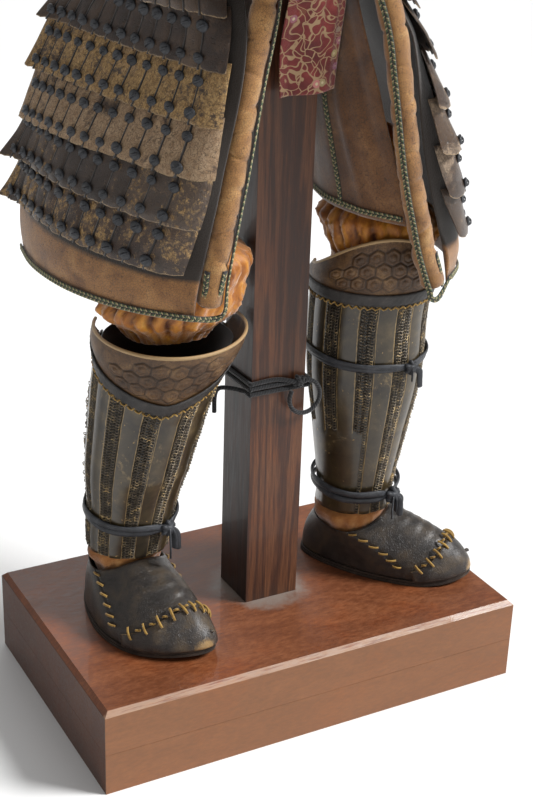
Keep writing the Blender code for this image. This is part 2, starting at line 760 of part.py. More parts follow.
def make_thigh_cloth(side):
    tag = "_right" if side == "right" else "_left"
    grid = cloth_grid(side)
    inner = grid - outward(side, grid) * CLOTH_WALL
    solid("thigh_cloth" + tag, wall(grid, inner, split=True), (0.46, 0.27, 0.11), 0.8)


def plate_surface(side, grid, away, level, place, height, out):
    """A point over the cloth: place counts its columns, height is above the level's line."""
    column = min(int(place), grid.shape[1] - 2)
    f = place - column
    row = level
    rest = height
    while row < grid.shape[0] - 2 and rest > grid[row + 1, column, 2] - grid[row, column, 2]:
        rest -= grid[row + 1, column, 2] - grid[row, column, 2]
        row += 1
    g = rest / (grid[row + 1, column, 2] - grid[row, column, 2])
    a, b = grid[row, column], grid[row, column + 1]
    d, c = grid[row + 1, column], grid[row + 1, column + 1]
    n_low = away[row, column] * (1 - f) + away[row, column + 1] * f
    n_high = away[row + 1, column] * (1 - f) + away[row + 1, column + 1] * f
    point = a + (b - a) * f + (c - b) * g if f > g else a + (d - a) * g + (c - d) * f
    n = n_low * (1 - g) + n_high * g
    return point + n / np.linalg.norm(n) * out


ROW_FLARE = [0.0, 0.024, 0.026, 0.004, 0.010, 0.014, 0.006]


def row_out(side, level, place, height):
    """How far a plate's outside stands off the cloth."""
    t = height / ROW_TALL
    end = (place - 1) / PLATES
    flare = ROW_FLARE[level] * max(0.0, (end - 0.72) / 0.28) ** 2
    curl = 0.010 * max(0.0, (0.16 - end) / 0.16) ** 1.5 if side == "left" else 0.004 * max(0.0, (0.08 - end) / 0.08)
    corner = 0.0024 * max(0.0, 1.0 - end / 0.4)
    return ROW_OUT_LOW + (ROW_OUT_HIGH + corner - ROW_OUT_LOW) * t + flare * (1 - t) ** 2 + curl * (1 - t)


def make_row(side, letter, level, knotted):
    """One row of plates, with two lines of round knots raised over the slits."""
    tag = "_right" if side == "right" else "_left"
    grid = cloth_grid(side)
    away = outward(side, grid)
    span = np.linalg.norm(grid[level, 8] - grid[level, 7])
    half = KNOT_HALF / span
    tall = ROW_TALL
    lines = [0.0]
    for centre in KNOT_HEIGHTS:
        lines += [centre - KNOT_HALF, centre + KNOT_HALF]
    lines += [tall]
    columns = [1.0]
    if knotted:
        for k in range(1, PLATES):
            columns += [1.0 + k - half, 1.0 + k + half]
    else:
        lines = [0.0, tall]
        columns += [1.0 + k for k in range(1, PLATES)]
    columns += [1.0 + PLATES]
    points = []
    for height in lines:
        for place in columns:
            out = row_out(side, level, place, height)
            points.append(plate_surface(side, grid, away, level, place, height, out))
    wide = len(columns)
    faces = []
    for j in range(len(lines) - 1):
        for i in range(wide - 1):
            a = j * wide + i
            ring = (a, a + 1, a + 1 + wide, a + wide)
            if knotted and j % 2 == 1 and i % 2 == 1:
                place = (columns[i] + columns[i + 1]) / 2
                height = (lines[j] + lines[j + 1]) / 2
                out = row_out(side, level, place, height) + KNOT_RAISE
                tip = len(points)
                points.append(plate_surface(side, grid, away, level, place, height, out))
                for q in range(4):
                    faces.append((ring[q], ring[(q + 1) % 4], tip))
            else:
                faces.append(ring)
    start = len(points)
    count = PLATES + 1
    for part in range(3):
        for k in range(count):
            fold = grid[level + 1, k + 1, 2] - grid[level, k + 1, 2]
            height = (0.0, min(fold, 0.97 * tall), tall)[part]
            out = row_out(side, level, 1.0 + k, height) - ROW_WALL
            points.append(plate_surface(side, grid, away, level, 1.0 + k, height, out))
    for part in range(2):
        for i in range(PLATES):
            a = start + part * count + i
            faces += [(a, a + count + 1, a + 1), (a, a + count, a + count + 1)]
    last = (len(lines) - 1) * wide
    for base, back, order in ((0, start, 1), (last, start + 2 * count, -1)):
        position = 0
        for i in range(PLATES):
            if knotted:
                end = 2 * i + 1 if i < PLATES - 1 else wide - 1
            else:
                end = i + 1
            ring = [base + k for k in range(position, end + 1)] + [back + i + 1, back + i]
            faces.append(tuple(ring if order == -1 else reversed(ring)))
            position = end
    for edge, end_in in ((0, 0), (wide - 1, count - 1)):
        ring = [j * wide + edge for j in range(len(lines))]
        ring += [start + part * count + end_in for part in (2, 1, 0)]
        faces.append(tuple(ring if edge else reversed(ring)))
    solid("plates" + tag + "_" + letter, (points, faces), (0.12, 0.085, 0.052), 0.5, smooth=False)


def roll_heights(side):
    return np.linspace(ROLLS[side][0][0], ROLLS[side][-1][0], 14)


def make_roll(side):
    tag = "_right" if side == "right" else "_left"
    table = ROLLS[side]
    heights = roll_heights(side)
    count = len(heights)
    path = [(*by_height(table, z), z) for z in heights]
    radii = [ROLL_RADIUS * (0.80 if k in (0, count - 1) else 1.0) for k in range(count)]
    solid("thigh_roll" + tag, tube(path, radii, sides=8), (0.50, 0.29, 0.11), 0.75)


def make_braid(side):
    """A flat braid down the roll's inner edge and out along the hem."""
    tag = "_right" if side == "right" else "_left"
    table = ROLLS[side]
    toward = 1.0 if side == "right" else -1.0
    path = []
    faces_out = []
    reach = ROLL_RADIUS + BRAID_HALF_THICK + 0.0008
    for z in roll_heights(side)[-2:0:-1]:
        x, y = by_height(table, z)
        n = np.array([toward * 0.80, -0.60, 0.0])
        above, below = by_height(table, z + 0.01), by_height(table, z - 0.01)
        axis = np.array([*(above - below), 0.02])
        axis /= np.linalg.norm(axis)
        n -= (n @ axis) * axis
        n /= np.linalg.norm(n)
        path.append(np.array([x, y, z]) + n * reach)
        faces_out.append(n)
    x, y = by_height(table, table[0][0])
    bottom = table[0][0] - BRAID_HALF_WIDTH - 0.0085
    for inward, ahead, up in ((0.0156, 0.0152, 0.0127), (0.0105, 0.012, 0.002), (-0.003, 0.010, 0.0)):
        path.append(np.array([x + toward * inward, y - ahead, bottom + up]))
        faces_out.append(np.array([toward * inward * 40, -0.9, 0.0]))
    grid = cloth_grid(side)
    away = outward(side, grid)
    for place in range(PLATES + 3):
        column = min(int(place), grid.shape[1] - 2)
        f = place - column
        n = away[0, column] * (1 - f) + away[0, column + 1] * f
        n = n / np.linalg.norm(n)
        point = plate_surface(side, grid, away, 0, place, 0.0065, BRAID_HALF_THICK + 0.0015)
        path.append(point)
        faces_out.append(n)
    shape = tube(path, 0.0, flat=(faces_out, BRAID_HALF_WIDTH, BRAID_HALF_THICK))
    solid("thigh_braid" + tag, shape, (0.20, 0.19, 0.11), 0.8)


def make_inner_panel(side):
    tag = "_right" if side == "right" else "_left"
    table = INNERS[side]
    grid = []
    for k in range(7):
        z = table[0][0] + (table[-1][0] - table[0][0]) * k / 6
        row = []
        for i in range(9):
            u = i / 8
            x, y = section_point(table, u, z)
            row.append((x, y, z + 0.012 * u * u * (1 - k / 6)))
        grid.append(row)
    shape = sheet(grid, CLOTH_WALL if side == "left" else -CLOTH_WALL)
    solid("thigh_inner" + tag, shape, (0.20, 0.105, 0.045), 0.9)


# Trouser puffs: height, centre x, centre y, side radius, front radius, depth of the gathers.
TROUSERS = {
    "right": [
        (0.562, -0.150, -0.010, 0.052, 0.052, 0.003),
        (0.580, -0.150, -0.008, 0.068, 0.066, 0.007),
        (0.600, -0.149, -0.006, 0.094, 0.086, 0.009),
        (0.630, -0.139, -0.012, 0.088, 0.082, 0.009),
        (0.668, -0.132, -0.012, 0.088, 0.084, 0.008),
        (0.703, -0.146, 0.000, 0.0524, 0.076, 0.004),
        (0.800, -0.146, 0.010, 0.046, 0.080, 0.002),
    ],
    "left": [
        (0.612, 0.176, 0.002, 0.062, 0.060, 0.003),
        (0.630, 0.180, 0.004, 0.066, 0.068, 0.005),
        (0.655, 0.184, 0.006, 0.080, 0.078, 0.008),
        (0.680, 0.184, 0.010, 0.0837, 0.082, 0.008),
        (0.703, 0.178, 0.014, 0.0612, 0.075, 0.005),
        (0.740, 0.170, 0.018, 0.052, 0.076, 0.003),
        (0.800, 0.156, 0.020, 0.046, 0.078, 0.002),
    ],
}


def make_trouser(side):
    tag = "_right" if side == "right" else "_left"
    count = 20
    outer = []
    inner = []
    for k, (z, x, y, rs, rf, gather) in enumerate(TROUSERS[side]):
        ring = []
        back = []
        for i in range(count):
            wave = gather * (0.5 if i % 2 else -0.5) * (1.0 if (i + k) % 4 < 2 else 0.6)
            sag = -0.006 * (0.5 - 0.5 * math.cos(4 * math.pi * i / count)) if k < 3 else 0.0
            angle = 360 * i / count
            ring.append(on_ring(x, y, rs + wave, rf + wave, angle, 0.0, z + sag))
            back.append(on_ring(x, y, rs - gather / 2 - 0.002, rf - gather / 2 - 0.002, angle, 0.0, z + sag))
        outer.append(ring)
        inner.append(back)
    solid("trouser" + tag, wall(outer, inner, around=True), (0.62, 0.30, 0.06), 0.5)


def waist_curve(angle, grow, z):
    return on_ring(0.0, BODY_Y, 0.1675 + grow, 0.1460 + grow, angle, 0.0, z)


def make_belt():
    count = 24
    outer = [[waist_curve(360 * i / count, 0.006, z) for i in range(count)] for z in (1.0895, 1.128)]
    inner = [[waist_curve(360 * i / count, 0.0021, z) for i in range(count)] for z in (1.0895, 1.128)]
    solid("waist_belt", wall(outer, inner, around=True), (0.33, 0.28, 0.19), 0.8)


def make_sash():
    """The brocade end that hangs from the belt in front of the post."""
    # height, left edge x, right edge x, y
    table = [(0.868, -0.020, 0.060, -0.062), (0.930, -0.024, 0.062, -0.066), (1.000, -0.024, 0.056, -0.086),
             (1.060, -0.020, 0.042, -0.1036), (1.112, -0.018, 0.038, -0.1032)]
    grid = []
    for k, (z, x0, x1, y) in enumerate(table):
        row = []
        for i in range(9):
            u = i / 8
            fold = 0.006 * math.sin(2.2 * math.pi * u + 0.5) * (1 - 0.22 * k)
            row.append((x0 + (x1 - x0) * u, y + fold, z + 0.006 * u * (k == 0)))
        grid.append(row)
    solid("sash_end", sheet(grid, 0.0022), (0.33, 0.05, 0.045), 0.55)


# Cuirass sections: height, side radius, front radius.
TRUNK = [(1.195, 0.166, 0.132), (1.260, 0.160, 0.128), (1.340, 0.172, 0.138), (1.410, 0.176, 0.140),
         (1.460, 0.168, 0.128), (1.500, 0.150, 0.110)]
STRAP_X = (0.070, 0.125)


def trunk_point(angle, z, out=0.0):
    rs, rf = by_height(TRUNK, z)
    return on_ring(0.0, BODY_Y, rs + out, rf + out, angle, 0.0, z)


def make_cuirass_front():
    angles = [-89.6, -70, -57, -39, -22, 0, 22, 39, 57, 70, 89.6]
    heights = [1.195, 1.280, 1.370, 1.420, 1.455]
    grid = [[trunk_point(a, z) for a in angles] for z in heights]

    def keep(j, i):
        far = abs((angles[i] + angles[i + 1]) / 2)
        if j >= 2 and far > 60:
            return False
        return not (j >= 3 and far < 20)

    solid("cuirass_front", sheet(grid, PANEL_WALL, keep=keep), (0.075, 0.06, 0.045), 0.45)


def make_cuirass_back():
    """The back plate, with a strap over each shoulder to the front plate."""
    angles = [90.4, 110, 123, 141, 158, 180, 202, 219, 237, 250, 269.6]
    heights = [1.195, 1.280, 1.370, 1.440, 1.490]
    grid = [[trunk_point(a, z) for a in angles] for z in heights]
    top = 1.5378
    for place in (0.12, 0.32, 0.50, 0.68, 0.86, 1.0):
        row = []
        for k, a in enumerate(angles):
            x0, y0, z0 = trunk_point(a, heights[-1])
            mirrored = 180 - a
            x1, y1, z1 = trunk_point(mirrored, 1.4565)
            bend = math.sin(math.pi * place) ** 0.6
            low = z0 + (1.4585 - z0) * place
            row.append((x0 + (x1 - x0) * place, y0 + (y1 - y0) * place, low + (top - low) * bend * 0.999))
        grid.append(row)

    def keep(j, i):
        far = abs((angles[i] + angles[i + 1]) / 2 - 180)
        if j >= 2 and far > 60:
            return False
        return j < 4 or 35 < far < 60

    solid("cuirass_back", sheet(grid, PANEL_WALL, keep=keep), (0.075, 0.06, 0.045), 0.45)


def make_tassets():
    """Seven panels hung round the cuirass's lower edge."""
    count = 7
    pitch = 360 / count
    for k in range(count):
        centre = pitch * k
        grid = []
        # height, side radius, front radius, half angle
        for z, rs, rf, half in ((1.036, 0.243, 0.236, 24.2), (1.115, 0.205, 0.187, 24.0), (1.1942, 0.1665, 0.1325, 23.6)):
            row = [on_ring(0.0, BODY_Y, rs, rf, centre - half + 2 * half * i / 4, 0.0, z) for i in range(5)]
            grid.append(row)
        solid("tasset_%d" % (k + 1), sheet(grid, PANEL_WALL), (0.085, 0.065, 0.045), 0.5)


# Sleeve path for the left arm: x, y, z, radius.
SLEEVE = [(0.176, 0.052, 1.4817, 0.0573), (0.205, 0.052, 1.4720, 0.0610), (0.238, 0.054, 1.4380, 0.0610),
          (0.262, 0.056, 1.3800, 0.0570), (0.276, 0.060, 1.3000, 0.0520), (0.280, 0.058, 1.2300, 0.0500),
          (0.276, 0.026, 1.1760, 0.0500), (0.262, -0.030, 1.1620, 0.0460), (0.244, -0.090, 1.1640, 0.0400),
          (0.228, -0.140, 1.1680, 0.0360)]


def make_sleeve(side):
    tag = "_right" if side == "right" else "_left"
    sign = -1.0 if side == "right" else 1.0
    count = 8
    line = np.array([(sign * x, y, z) for x, y, z, r in SLEEVE])
    ahead = np.gradient(line, axis=0)
    ahead[0] = (sign * 1.0, 0.0, -0.12)
    ahead /= np.linalg.norm(ahead, axis=1, keepdims=True)
    outer = []
    inner = []
    across = np.array([0.0, 1.0, 0.0])
    for k, row in enumerate(SLEEVE):
        across = across - (across @ ahead[k]) * ahead[k]
        across /= np.linalg.norm(across)
        other = np.cross(ahead[k], across)
        ring = []
        back = []
        for i in range(count):
            a = 2 * math.pi * i / count
            d = math.cos(a) * across + math.sin(a) * other
            ring.append(line[k] + row[3] * d)
            back.append(line[k] + (row[3] - SLEEVE_WALL) * d)
        outer.append(ring)
        inner.append(back)
    solid("sleeve" + tag, wall(outer, inner, around=True), (0.16, 0.12, 0.07), 0.8)


def make_shoulder_guard(side):
    tag = "_right" if side == "right" else "_left"
    sign = -1.0 if side == "right" else 1.0
    grid = []
    # height, x at the middle
    for z, x in ((1.250, 0.3440), (1.360, 0.3390), (1.420, 0.3280), (1.457, 0.3095), (1.481, 0.2858)):
        row = []
        for i in range(6):
            t = -1 + i / 2.5
            y = 0.056 + 0.105 * t
            row.append((sign * (x - 0.030 * t * t), y, z))
        grid.append(row)
    shape = sheet(grid, PANEL_WALL if side == "left" else -PANEL_WALL)
    solid("shoulder_guard" + tag, shape, (0.085, 0.065, 0.045), 0.5)


HELMET_Y = 0.036
HELMET_LOW = 1.660


def make_helmet():
    count = 16
    levels = 6
    grid = []
    for k in range(levels):
        rise = math.radians(84 * k / (levels - 1))
        rs = 0.107 * math.cos(rise) + 0.002
        rf = 0.128 * math.cos(rise) + 0.002
        grid.append([on_ring(0.0, HELMET_Y, rs, rf, 360 * i / count, 0.0, HELMET_LOW + 0.170 * math.sin(rise))
                     for i in range(count)])
    outer = np.array(grid)
    inner = []
    for k in range(levels):
        rise = math.radians(84 * k / (levels - 1))
        rs = 0.104 * math.cos(rise) + 0.0015
        rf = 0.125 * math.cos(rise) + 0.0015
        inner.append([on_ring(0.0, HELMET_Y, rs, rf, 360 * i / count, 0.0, HELMET_LOW + 0.167 * math.sin(rise))
                      for i in range(count)])
    rows = len(grid)
    points, faces = wall(outer, np.array(inner), around=True)
    shift = rows * count
    top = (rows - 1) * count
    hole = set()
    for i in range(count):
        j = (i + 1) % count
        hole.add(frozenset((top + i, top + j, shift + top + j, shift + top + i)))
    faces = [f for f in faces if frozenset(f) not in hole]
    faces.append(tuple(top + i for i in range(count)))
    faces.append(tuple(shift + top + i for i in reversed(range(count))))
    solid("helmet_bowl", (points, faces), (0.06, 0.052, 0.045), 0.4)


def make_neck_guard():
    angles = [62, 85, 108, 132, 156, 180, 204, 228, 252, 275, 298]
    grid = []
    # height, side radius, front radius
    for z, rs, rf in ((1.560, 0.170, 0.186), (1.600, 0.146, 0.164), (1.640, 0.122, 0.142), (1.6592, 0.1095, 0.1305)):
        grid.append([on_ring(0.0, HELMET_Y, rs, rf, a, 0.0, z) for a in angles])
    solid("neck_guard", sheet(grid, PANEL_WALL), (0.085, 0.065, 0.045), 0.5)


make_base()
make_post()
make_post_tie()
for side in ("right", "left"):
    make_shoe(side)
    make_legging(side)
    make_shin_guard(side)
    make_knee_guard(side)
    make_knee_border(side)
    make_thigh_cloth(side)
    make_inner_panel(side)
    make_roll(side)
    make_braid(side)
    make_trouser(side)
    for level, letter in enumerate("abcdef", start=1):
        make_row(side, letter, level, letter != "f")
    make_sleeve(side)
    make_shoulder_guard(side)
make_leg_tie("ankle_tie_right", "right", 0.278, -0.006, 25.0, 0.0005)
make_leg_tie("ankle_tie_left", "left", 0.266, -0.004, 22.0, 0.0042, knot=0.0125)
make_leg_tie("knee_tie_left", "left", 0.482, -0.004, 12.0, 0.0003)
make_belt()
make_sash()
make_cuirass_front()
make_cuirass_back()
make_tassets()
make_helmet()
make_neck_guard()
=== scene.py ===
import math
import random

import bmesh
import bpy
import numpy as np
from mathutils import Matrix, Vector, noise


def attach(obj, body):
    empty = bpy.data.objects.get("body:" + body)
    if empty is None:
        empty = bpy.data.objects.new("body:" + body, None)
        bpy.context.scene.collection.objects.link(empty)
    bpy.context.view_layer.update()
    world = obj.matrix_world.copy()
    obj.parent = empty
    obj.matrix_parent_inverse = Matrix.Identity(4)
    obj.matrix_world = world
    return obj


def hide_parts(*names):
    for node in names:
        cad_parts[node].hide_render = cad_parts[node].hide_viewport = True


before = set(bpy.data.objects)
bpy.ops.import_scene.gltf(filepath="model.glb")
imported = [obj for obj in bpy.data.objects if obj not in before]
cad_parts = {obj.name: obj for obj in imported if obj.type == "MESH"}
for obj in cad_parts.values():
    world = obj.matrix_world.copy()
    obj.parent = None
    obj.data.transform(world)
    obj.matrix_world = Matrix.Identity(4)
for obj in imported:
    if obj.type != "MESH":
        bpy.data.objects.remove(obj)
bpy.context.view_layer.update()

random.seed(7)
sides = ("right", "left")


# the photograph's camera, solved from the base's edges
cameraView = {"place": (-0.9258, -1.6861, 1.2772), "azimuth": -28.967, "elevation": 23.795,
              "roll": 1.9025, "lens": 67.335}
studio = {"floorSize": 60.0, "floorColour": (0.93, 0.93, 0.925), "sky": (1.0, 1.0, 1.0), "skyStrength": 0.24,
          "sunWay": (1.0, -0.62, 1.05), "sunSoftness": 20.0, "sunStrength": 4.1,
          "fillPlace": (-2.6, -2.6, 2.2), "fillSize": 2.6, "fillPower": 9.0,
          "backPlace": (0.4, 2.6, 2.6), "backSize": 2.0, "backPower": 24.0}


def addCamera():
    a = math.radians(cameraView["azimuth"])
    e = math.radians(cameraView["elevation"])
    r = math.radians(cameraView["roll"])
    back = Vector((math.sin(a) * math.cos(e), -math.cos(a) * math.cos(e), math.sin(e)))
    right = Vector((0, 0, 1)).cross(back).normalized()
    up = back.cross(right)
    across = math.cos(r) * right + math.sin(r) * up
    above = -math.sin(r) * right + math.cos(r) * up
    data = bpy.data.cameras.new("camera")
    data.lens = cameraView["lens"]
    data.sensor_width = 36.0
    data.clip_end = 200.0
    camera = bpy.data.objects.new("camera", data)
    bpy.context.scene.collection.objects.link(camera)
    turn = Matrix((across, above, back)).transposed().to_4x4()
    camera.matrix_world = Matrix.Translation(cameraView["place"]) @ turn
    bpy.context.scene.camera = camera


def addLight(name, place, size, power, aim=(0.0, 0.0, 0.6)):
    data = bpy.data.lights.new(name, "AREA")
    data.size = size
    data.energy = power
    lamp = bpy.data.objects.new(name, data)
    bpy.context.scene.collection.objects.link(lamp)
    lamp.location = place
    lamp.rotation_euler = (Vector(aim) - Vector(place)).to_track_quat("-Z", "Y").to_euler()


def addStudio():
    world = bpy.data.worlds.new("studio")
    world.use_nodes = True
    sky = world.node_tree.nodes["Background"]
    sky.inputs["Color"].default_value = (*studio["sky"], 1.0)
    sky.inputs["Strength"].default_value = studio["skyStrength"]
    bpy.context.scene.world = world
    sunData = bpy.data.lights.new("key", "SUN")
    sunData.energy = studio["sunStrength"]
    sunData.angle = math.radians(studio["sunSoftness"])
    sun = bpy.data.objects.new("key", sunData)
    bpy.context.scene.collection.objects.link(sun)
    sun.rotation_euler = Vector(studio["sunWay"]).to_track_quat("Z", "Y").to_euler()
    for lamp in ("fill", "back"):
        addLight(lamp, studio[lamp + "Place"], studio[lamp + "Size"], studio[lamp + "Power"])
    half = studio["floorSize"] / 2
    mesh = bpy.data.meshes.new("floor")
    mesh.from_pydata([(-half, -half, 0), (half, -half, 0), (half, half, 0), (-half, half, 0)], [], [(0, 1, 2, 3)])
    floor = bpy.data.objects.new("floor", mesh)
    bpy.context.scene.collection.objects.link(floor)
    finish = bpy.data.materials.new("floorPaper")
    finish.use_nodes = True
    shader = finish.node_tree.nodes["Principled BSDF"]
    shader.inputs["Base Color"].default_value = (*studio["floorColour"], 1.0)
    shader.inputs["Roughness"].default_value = 0.9
    mesh.materials.append(finish)
    bpy.context.scene.view_settings.view_transform = "Standard"


addCamera()
addStudio()
print("camera and studio")


# small helpers for materials

def startMaterial(name, roughness=0.5, metallic=0.0, sheen=0.0, specular=0.5, coat=0.0):
    finish = bpy.data.materials.new(name)
    finish.use_nodes = True
    tree = finish.node_tree
    shader = tree.nodes["Principled BSDF"]
    shader.inputs["Roughness"].default_value = roughness
    shader.inputs["Metallic"].default_value = metallic
    shader.inputs["Sheen Weight"].default_value = sheen
    shader.inputs["Specular IOR Level"].default_value = specular
    shader.inputs["Coat Weight"].default_value = coat
    return finish, tree, shader


def addNode(tree, kind, inputs=None, **settings):
    made = tree.nodes.new(kind)
    for key, value in settings.items():
        setattr(made, key, value)
    for key, value in (inputs or {}).items():
        if isinstance(value, bpy.types.NodeSocket):
            tree.links.new(value, made.inputs[key])
        else:
            made.inputs[key].default_value = value
    return made


def objectPlace(tree, scale=(1.0, 1.0, 1.0)):
    where = addNode(tree, "ShaderNodeTexCoord").outputs["Object"]
    moved = addNode(tree, "ShaderNodeMapping", {"Vector": where, "Scale": scale})
    return moved.outputs["Vector"]


def noiseOf(tree, vector, scale, detail=5.0, rough=0.6, distort=0.0):
    made = addNode(tree, "ShaderNodeTexNoise", {"Vector": vector, "Scale": scale, "Detail": detail,
                                                "Roughness": rough, "Distortion": distort})
    return made.outputs["Fac"]


def rampOf(tree, value, stops):
    made = addNode(tree, "ShaderNodeValToRGB", {"Fac": value})
    points = made.color_ramp.elements
    while len(points) < len(stops):
        points.new(0.5)
    for point, (place, colour) in zip(points, stops):
        point.position = place
        point.color = (*colour, 1.0) if len(colour) == 3 else colour
    return made.outputs["Color"]


def maskOf(tree, value, low, high):
    made = addNode(tree, "ShaderNodeMapRange", {"Value": value, "From Min": low, "From Max": high})
    made.interpolation_type = "SMOOTHSTEP"
    return made.outputs["Result"]


def mixOf(tree, amount, first, second, mode="MIX"):
    made = tree.nodes.new("ShaderNodeMix")
    made.data_type = "RGBA"
    made.blend_type = mode
    for socket, value in ((made.inputs[0], amount), (made.inputs[6], first), (made.inputs[7], second)):
        if isinstance(value, bpy.types.NodeSocket):
            tree.links.new(value, socket)
        elif isinstance(value, tuple):
            socket.default_value = (*value, 1.0)
        else:
            socket.default_value = value
    return made.outputs[2]


def sumOf(tree, first, second, how="ADD"):
    made = tree.nodes.new("ShaderNodeMath")
    made.operation = how
    for k, value in enumerate((first, second)):
        if isinstance(value, bpy.types.NodeSocket):
            tree.links.new(value, made.inputs[k])
        else:
            made.inputs[k].default_value = value
    return made.outputs[0]


def attributeOf(tree, name):
    return addNode(tree, "ShaderNodeAttribute", attribute_name=name).outputs["Fac"]


def setSurface(tree, shader, colour=None, roughness=None, height=None, strength=0.4, distance=0.001):
    if colour is not None:
        tree.links.new(colour, shader.inputs["Base Color"])
    if roughness is not None:
        tree.links.new(roughness, shader.inputs["Roughness"])
    if height is not None:
        bump = addNode(tree, "ShaderNodeBump", {"Height": height, "Strength": strength, "Distance": distance})
        tree.links.new(bump.outputs["Normal"], shader.inputs["Normal"])


# small helpers for shapes

def addPiece(name, shape, finish, replaces=(), sharp=None, marks=None):
    points, faces, corners = shape
    mesh = bpy.data.meshes.new(name)
    mesh.from_pydata([tuple(p) for p in np.asarray(points, float)], [], [tuple(int(v) for v in f) for f in faces])
    if corners is not None:
        layer = mesh.uv_layers.new(name="UVMap")
        layer.data.foreach_set("uv", np.asarray(corners, float).ravel())
    for label, values in (marks or {}).items():
        made = mesh.attributes.new(label, "FLOAT", "POINT")
        made.data.foreach_set("value", np.asarray(values, float).ravel())
    body = bmesh.new()
    body.from_mesh(mesh)
    bmesh.ops.delete(body, geom=[v for v in body.verts if not v.link_faces], context="VERTS")
    bmesh.ops.recalc_face_normals(body, faces=body.faces)
    if body.calc_volume(signed=True) < 0:
        bmesh.ops.reverse_faces(body, faces=body.faces)
    body.to_mesh(mesh)
    body.free()
    mesh.polygons.foreach_set("use_smooth", [True] * len(mesh.polygons))
    if sharp is not None:
        mesh.set_sharp_from_angle(angle=math.radians(sharp))
    mesh.materials.append(finish)
    piece = bpy.data.objects.new(name, mesh)
    bpy.context.scene.collection.objects.link(piece)
    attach(piece, "root")
    if replaces:
        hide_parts(*replaces)
    return piece


def joinShapes(shapes):
    points = []
    faces = []
    corners = []
    for some, cells, marks in shapes:
        shift = len(points)
        points += [tuple(p) for p in some]
        faces += [tuple(v + shift for v in f) for f in cells]
        corners += list(marks)
    return points, faces, corners


def wallShape(outer, inner, around=False, keep=None, pinch=0.0):
    # a closed wall between two grids; keep marks the cells that are there
    outer = np.array(outer, float)
    inner = np.array(inner, float)
    rows, columns = outer.shape[:2]
    if pinch:
        edge = np.zeros((rows, columns), bool)
        edge[0] = edge[-1] = True
        if not around:
            edge[:, 0] = edge[:, -1] = True
        middle = (outer + inner) / 2
        outer[edge] += (middle[edge] - outer[edge]) * pinch
        inner[edge] += (middle[edge] - inner[edge]) * pinch
    half = outer[rows // 2]
    along = np.concatenate([[0.0], np.cumsum(np.linalg.norm(np.roll(half, -1, axis=0) - half, axis=1))])
    rise = np.concatenate([[0.0], np.cumsum(np.linalg.norm(np.diff(outer[:, 0], axis=0), axis=1))])
    points = np.concatenate([outer.reshape(-1, 3), inner.reshape(-1, 3)])
    shift = rows * columns
    faces = []
    corners = []
    rim = {}

    def addFace(ring):
        faces.append([layer * shift + j * columns + i % columns for j, i, layer in ring])
        corners.extend((along[i], rise[j]) for j, i, layer in ring)

    for j in range(rows - 1):
        for i in range(columns if around else columns - 1):
            if keep is not None and not keep[j, i]:
                continue
            ring = [(j, i), (j, i + 1), (j + 1, i + 1), (j + 1, i)]
            addFace([(*p, 0) for p in ring])
            addFace([(*p, 1) for p in reversed(ring)])
            for k in range(4):
                a, b = ring[k], ring[(k + 1) % 4]
                here, there = (a[0], a[1] % columns), (b[0], b[1] % columns)
                if (there, here) in rim:
                    del rim[(there, here)]
                else:
                    rim[(here, there)] = (a, b)
    for a, b in rim.values():
        addFace([(*b, 0), (*a, 0), (*a, 1), (*b, 1)])
    return points, faces, corners


def normalsOf(grid):
    g = np.array(grid, float)
    n = np.cross(np.gradient(g, axis=1), np.gradient(g, axis=0))
    return n / np.maximum(np.linalg.norm(n, axis=2, keepdims=True), 1e-12)


def catmull(points, count):
    p = np.array(points, float)
    spans = len(p) - 1
    line = []
    for k in range(count):
        t = k * spans / (count - 1)
        i = min(int(t), spans - 1)
        f = t - i
        a, b, c, d = p[max(i - 1, 0)], p[i], p[i + 1], p[min(i + 2, spans)]
        line.append(0.5 * (2 * b + (c - a) * f + (2 * a - 5 * b + 4 * c - d) * f ** 2
                           + (3 * b - a - 3 * c + d) * f ** 3))
    return np.array(line)


def tubeShape(path, radii, sides=10, closed=False, flat=1.0, facing=None):
    line = np.array(path, float)
    count = len(line)
    ahead = (np.roll(line, -1, axis=0) - np.roll(line, 1, axis=0)) if closed else np.gradient(line, axis=0)
    ahead /= np.maximum(np.linalg.norm(ahead, axis=1, keepdims=True), 1e-12)
    side = np.array([0.0, 0.0, 1.0])
    if abs(ahead[0] @ side) > 0.8:
        side = np.array([1.0, 0.0, 0.0])
    points = []
    run = np.concatenate([[0.0], np.cumsum(np.linalg.norm(np.diff(line, axis=0), axis=1))])
    for k in range(count):
        if facing is not None:
            side = np.array(facing[k], float)
        side = side - (side @ ahead[k]) * ahead[k]
        side /= max(np.linalg.norm(side), 1e-9)
        across = np.cross(ahead[k], side)
        r = radii[k] if np.ndim(radii) else radii
        for i in range(sides):
            a = 2 * math.pi * i / sides
            points.append(line[k] + r * (flat * math.cos(a) * side + math.sin(a) * across))
    faces = []
    corners = []
    girth = 2 * math.pi * (radii[0] if np.ndim(radii) else radii)
    for k in range(count if closed else count - 1):
        n = (k + 1) % count
        far = run[k + 1] if k + 1 < count else run[-1] + 0.005
        for i in range(sides):
            j = (i + 1) % sides
            faces.append((k * sides + i, k * sides + j, n * sides + j, n * sides + i))
            corners += [(girth * i / sides, run[k]), (girth * (i + 1) / sides, run[k]),
                        (girth * (i + 1) / sides, far), (girth * i / sides, far)]
    if not closed:
        faces.append(tuple(reversed(range(sides))))
        faces.append(tuple(range((count - 1) * sides, count * sides)))
        corners += [(0.0, 0.0)] * (2 * sides)
    return points, faces, corners


def lumps(point, scale, seed=0.0):
    return noise.noise(Vector(point) * scale + Vector((seed, seed * 1.7, -seed)))


# what repeats is made by Geometry Nodes: one small form on each point

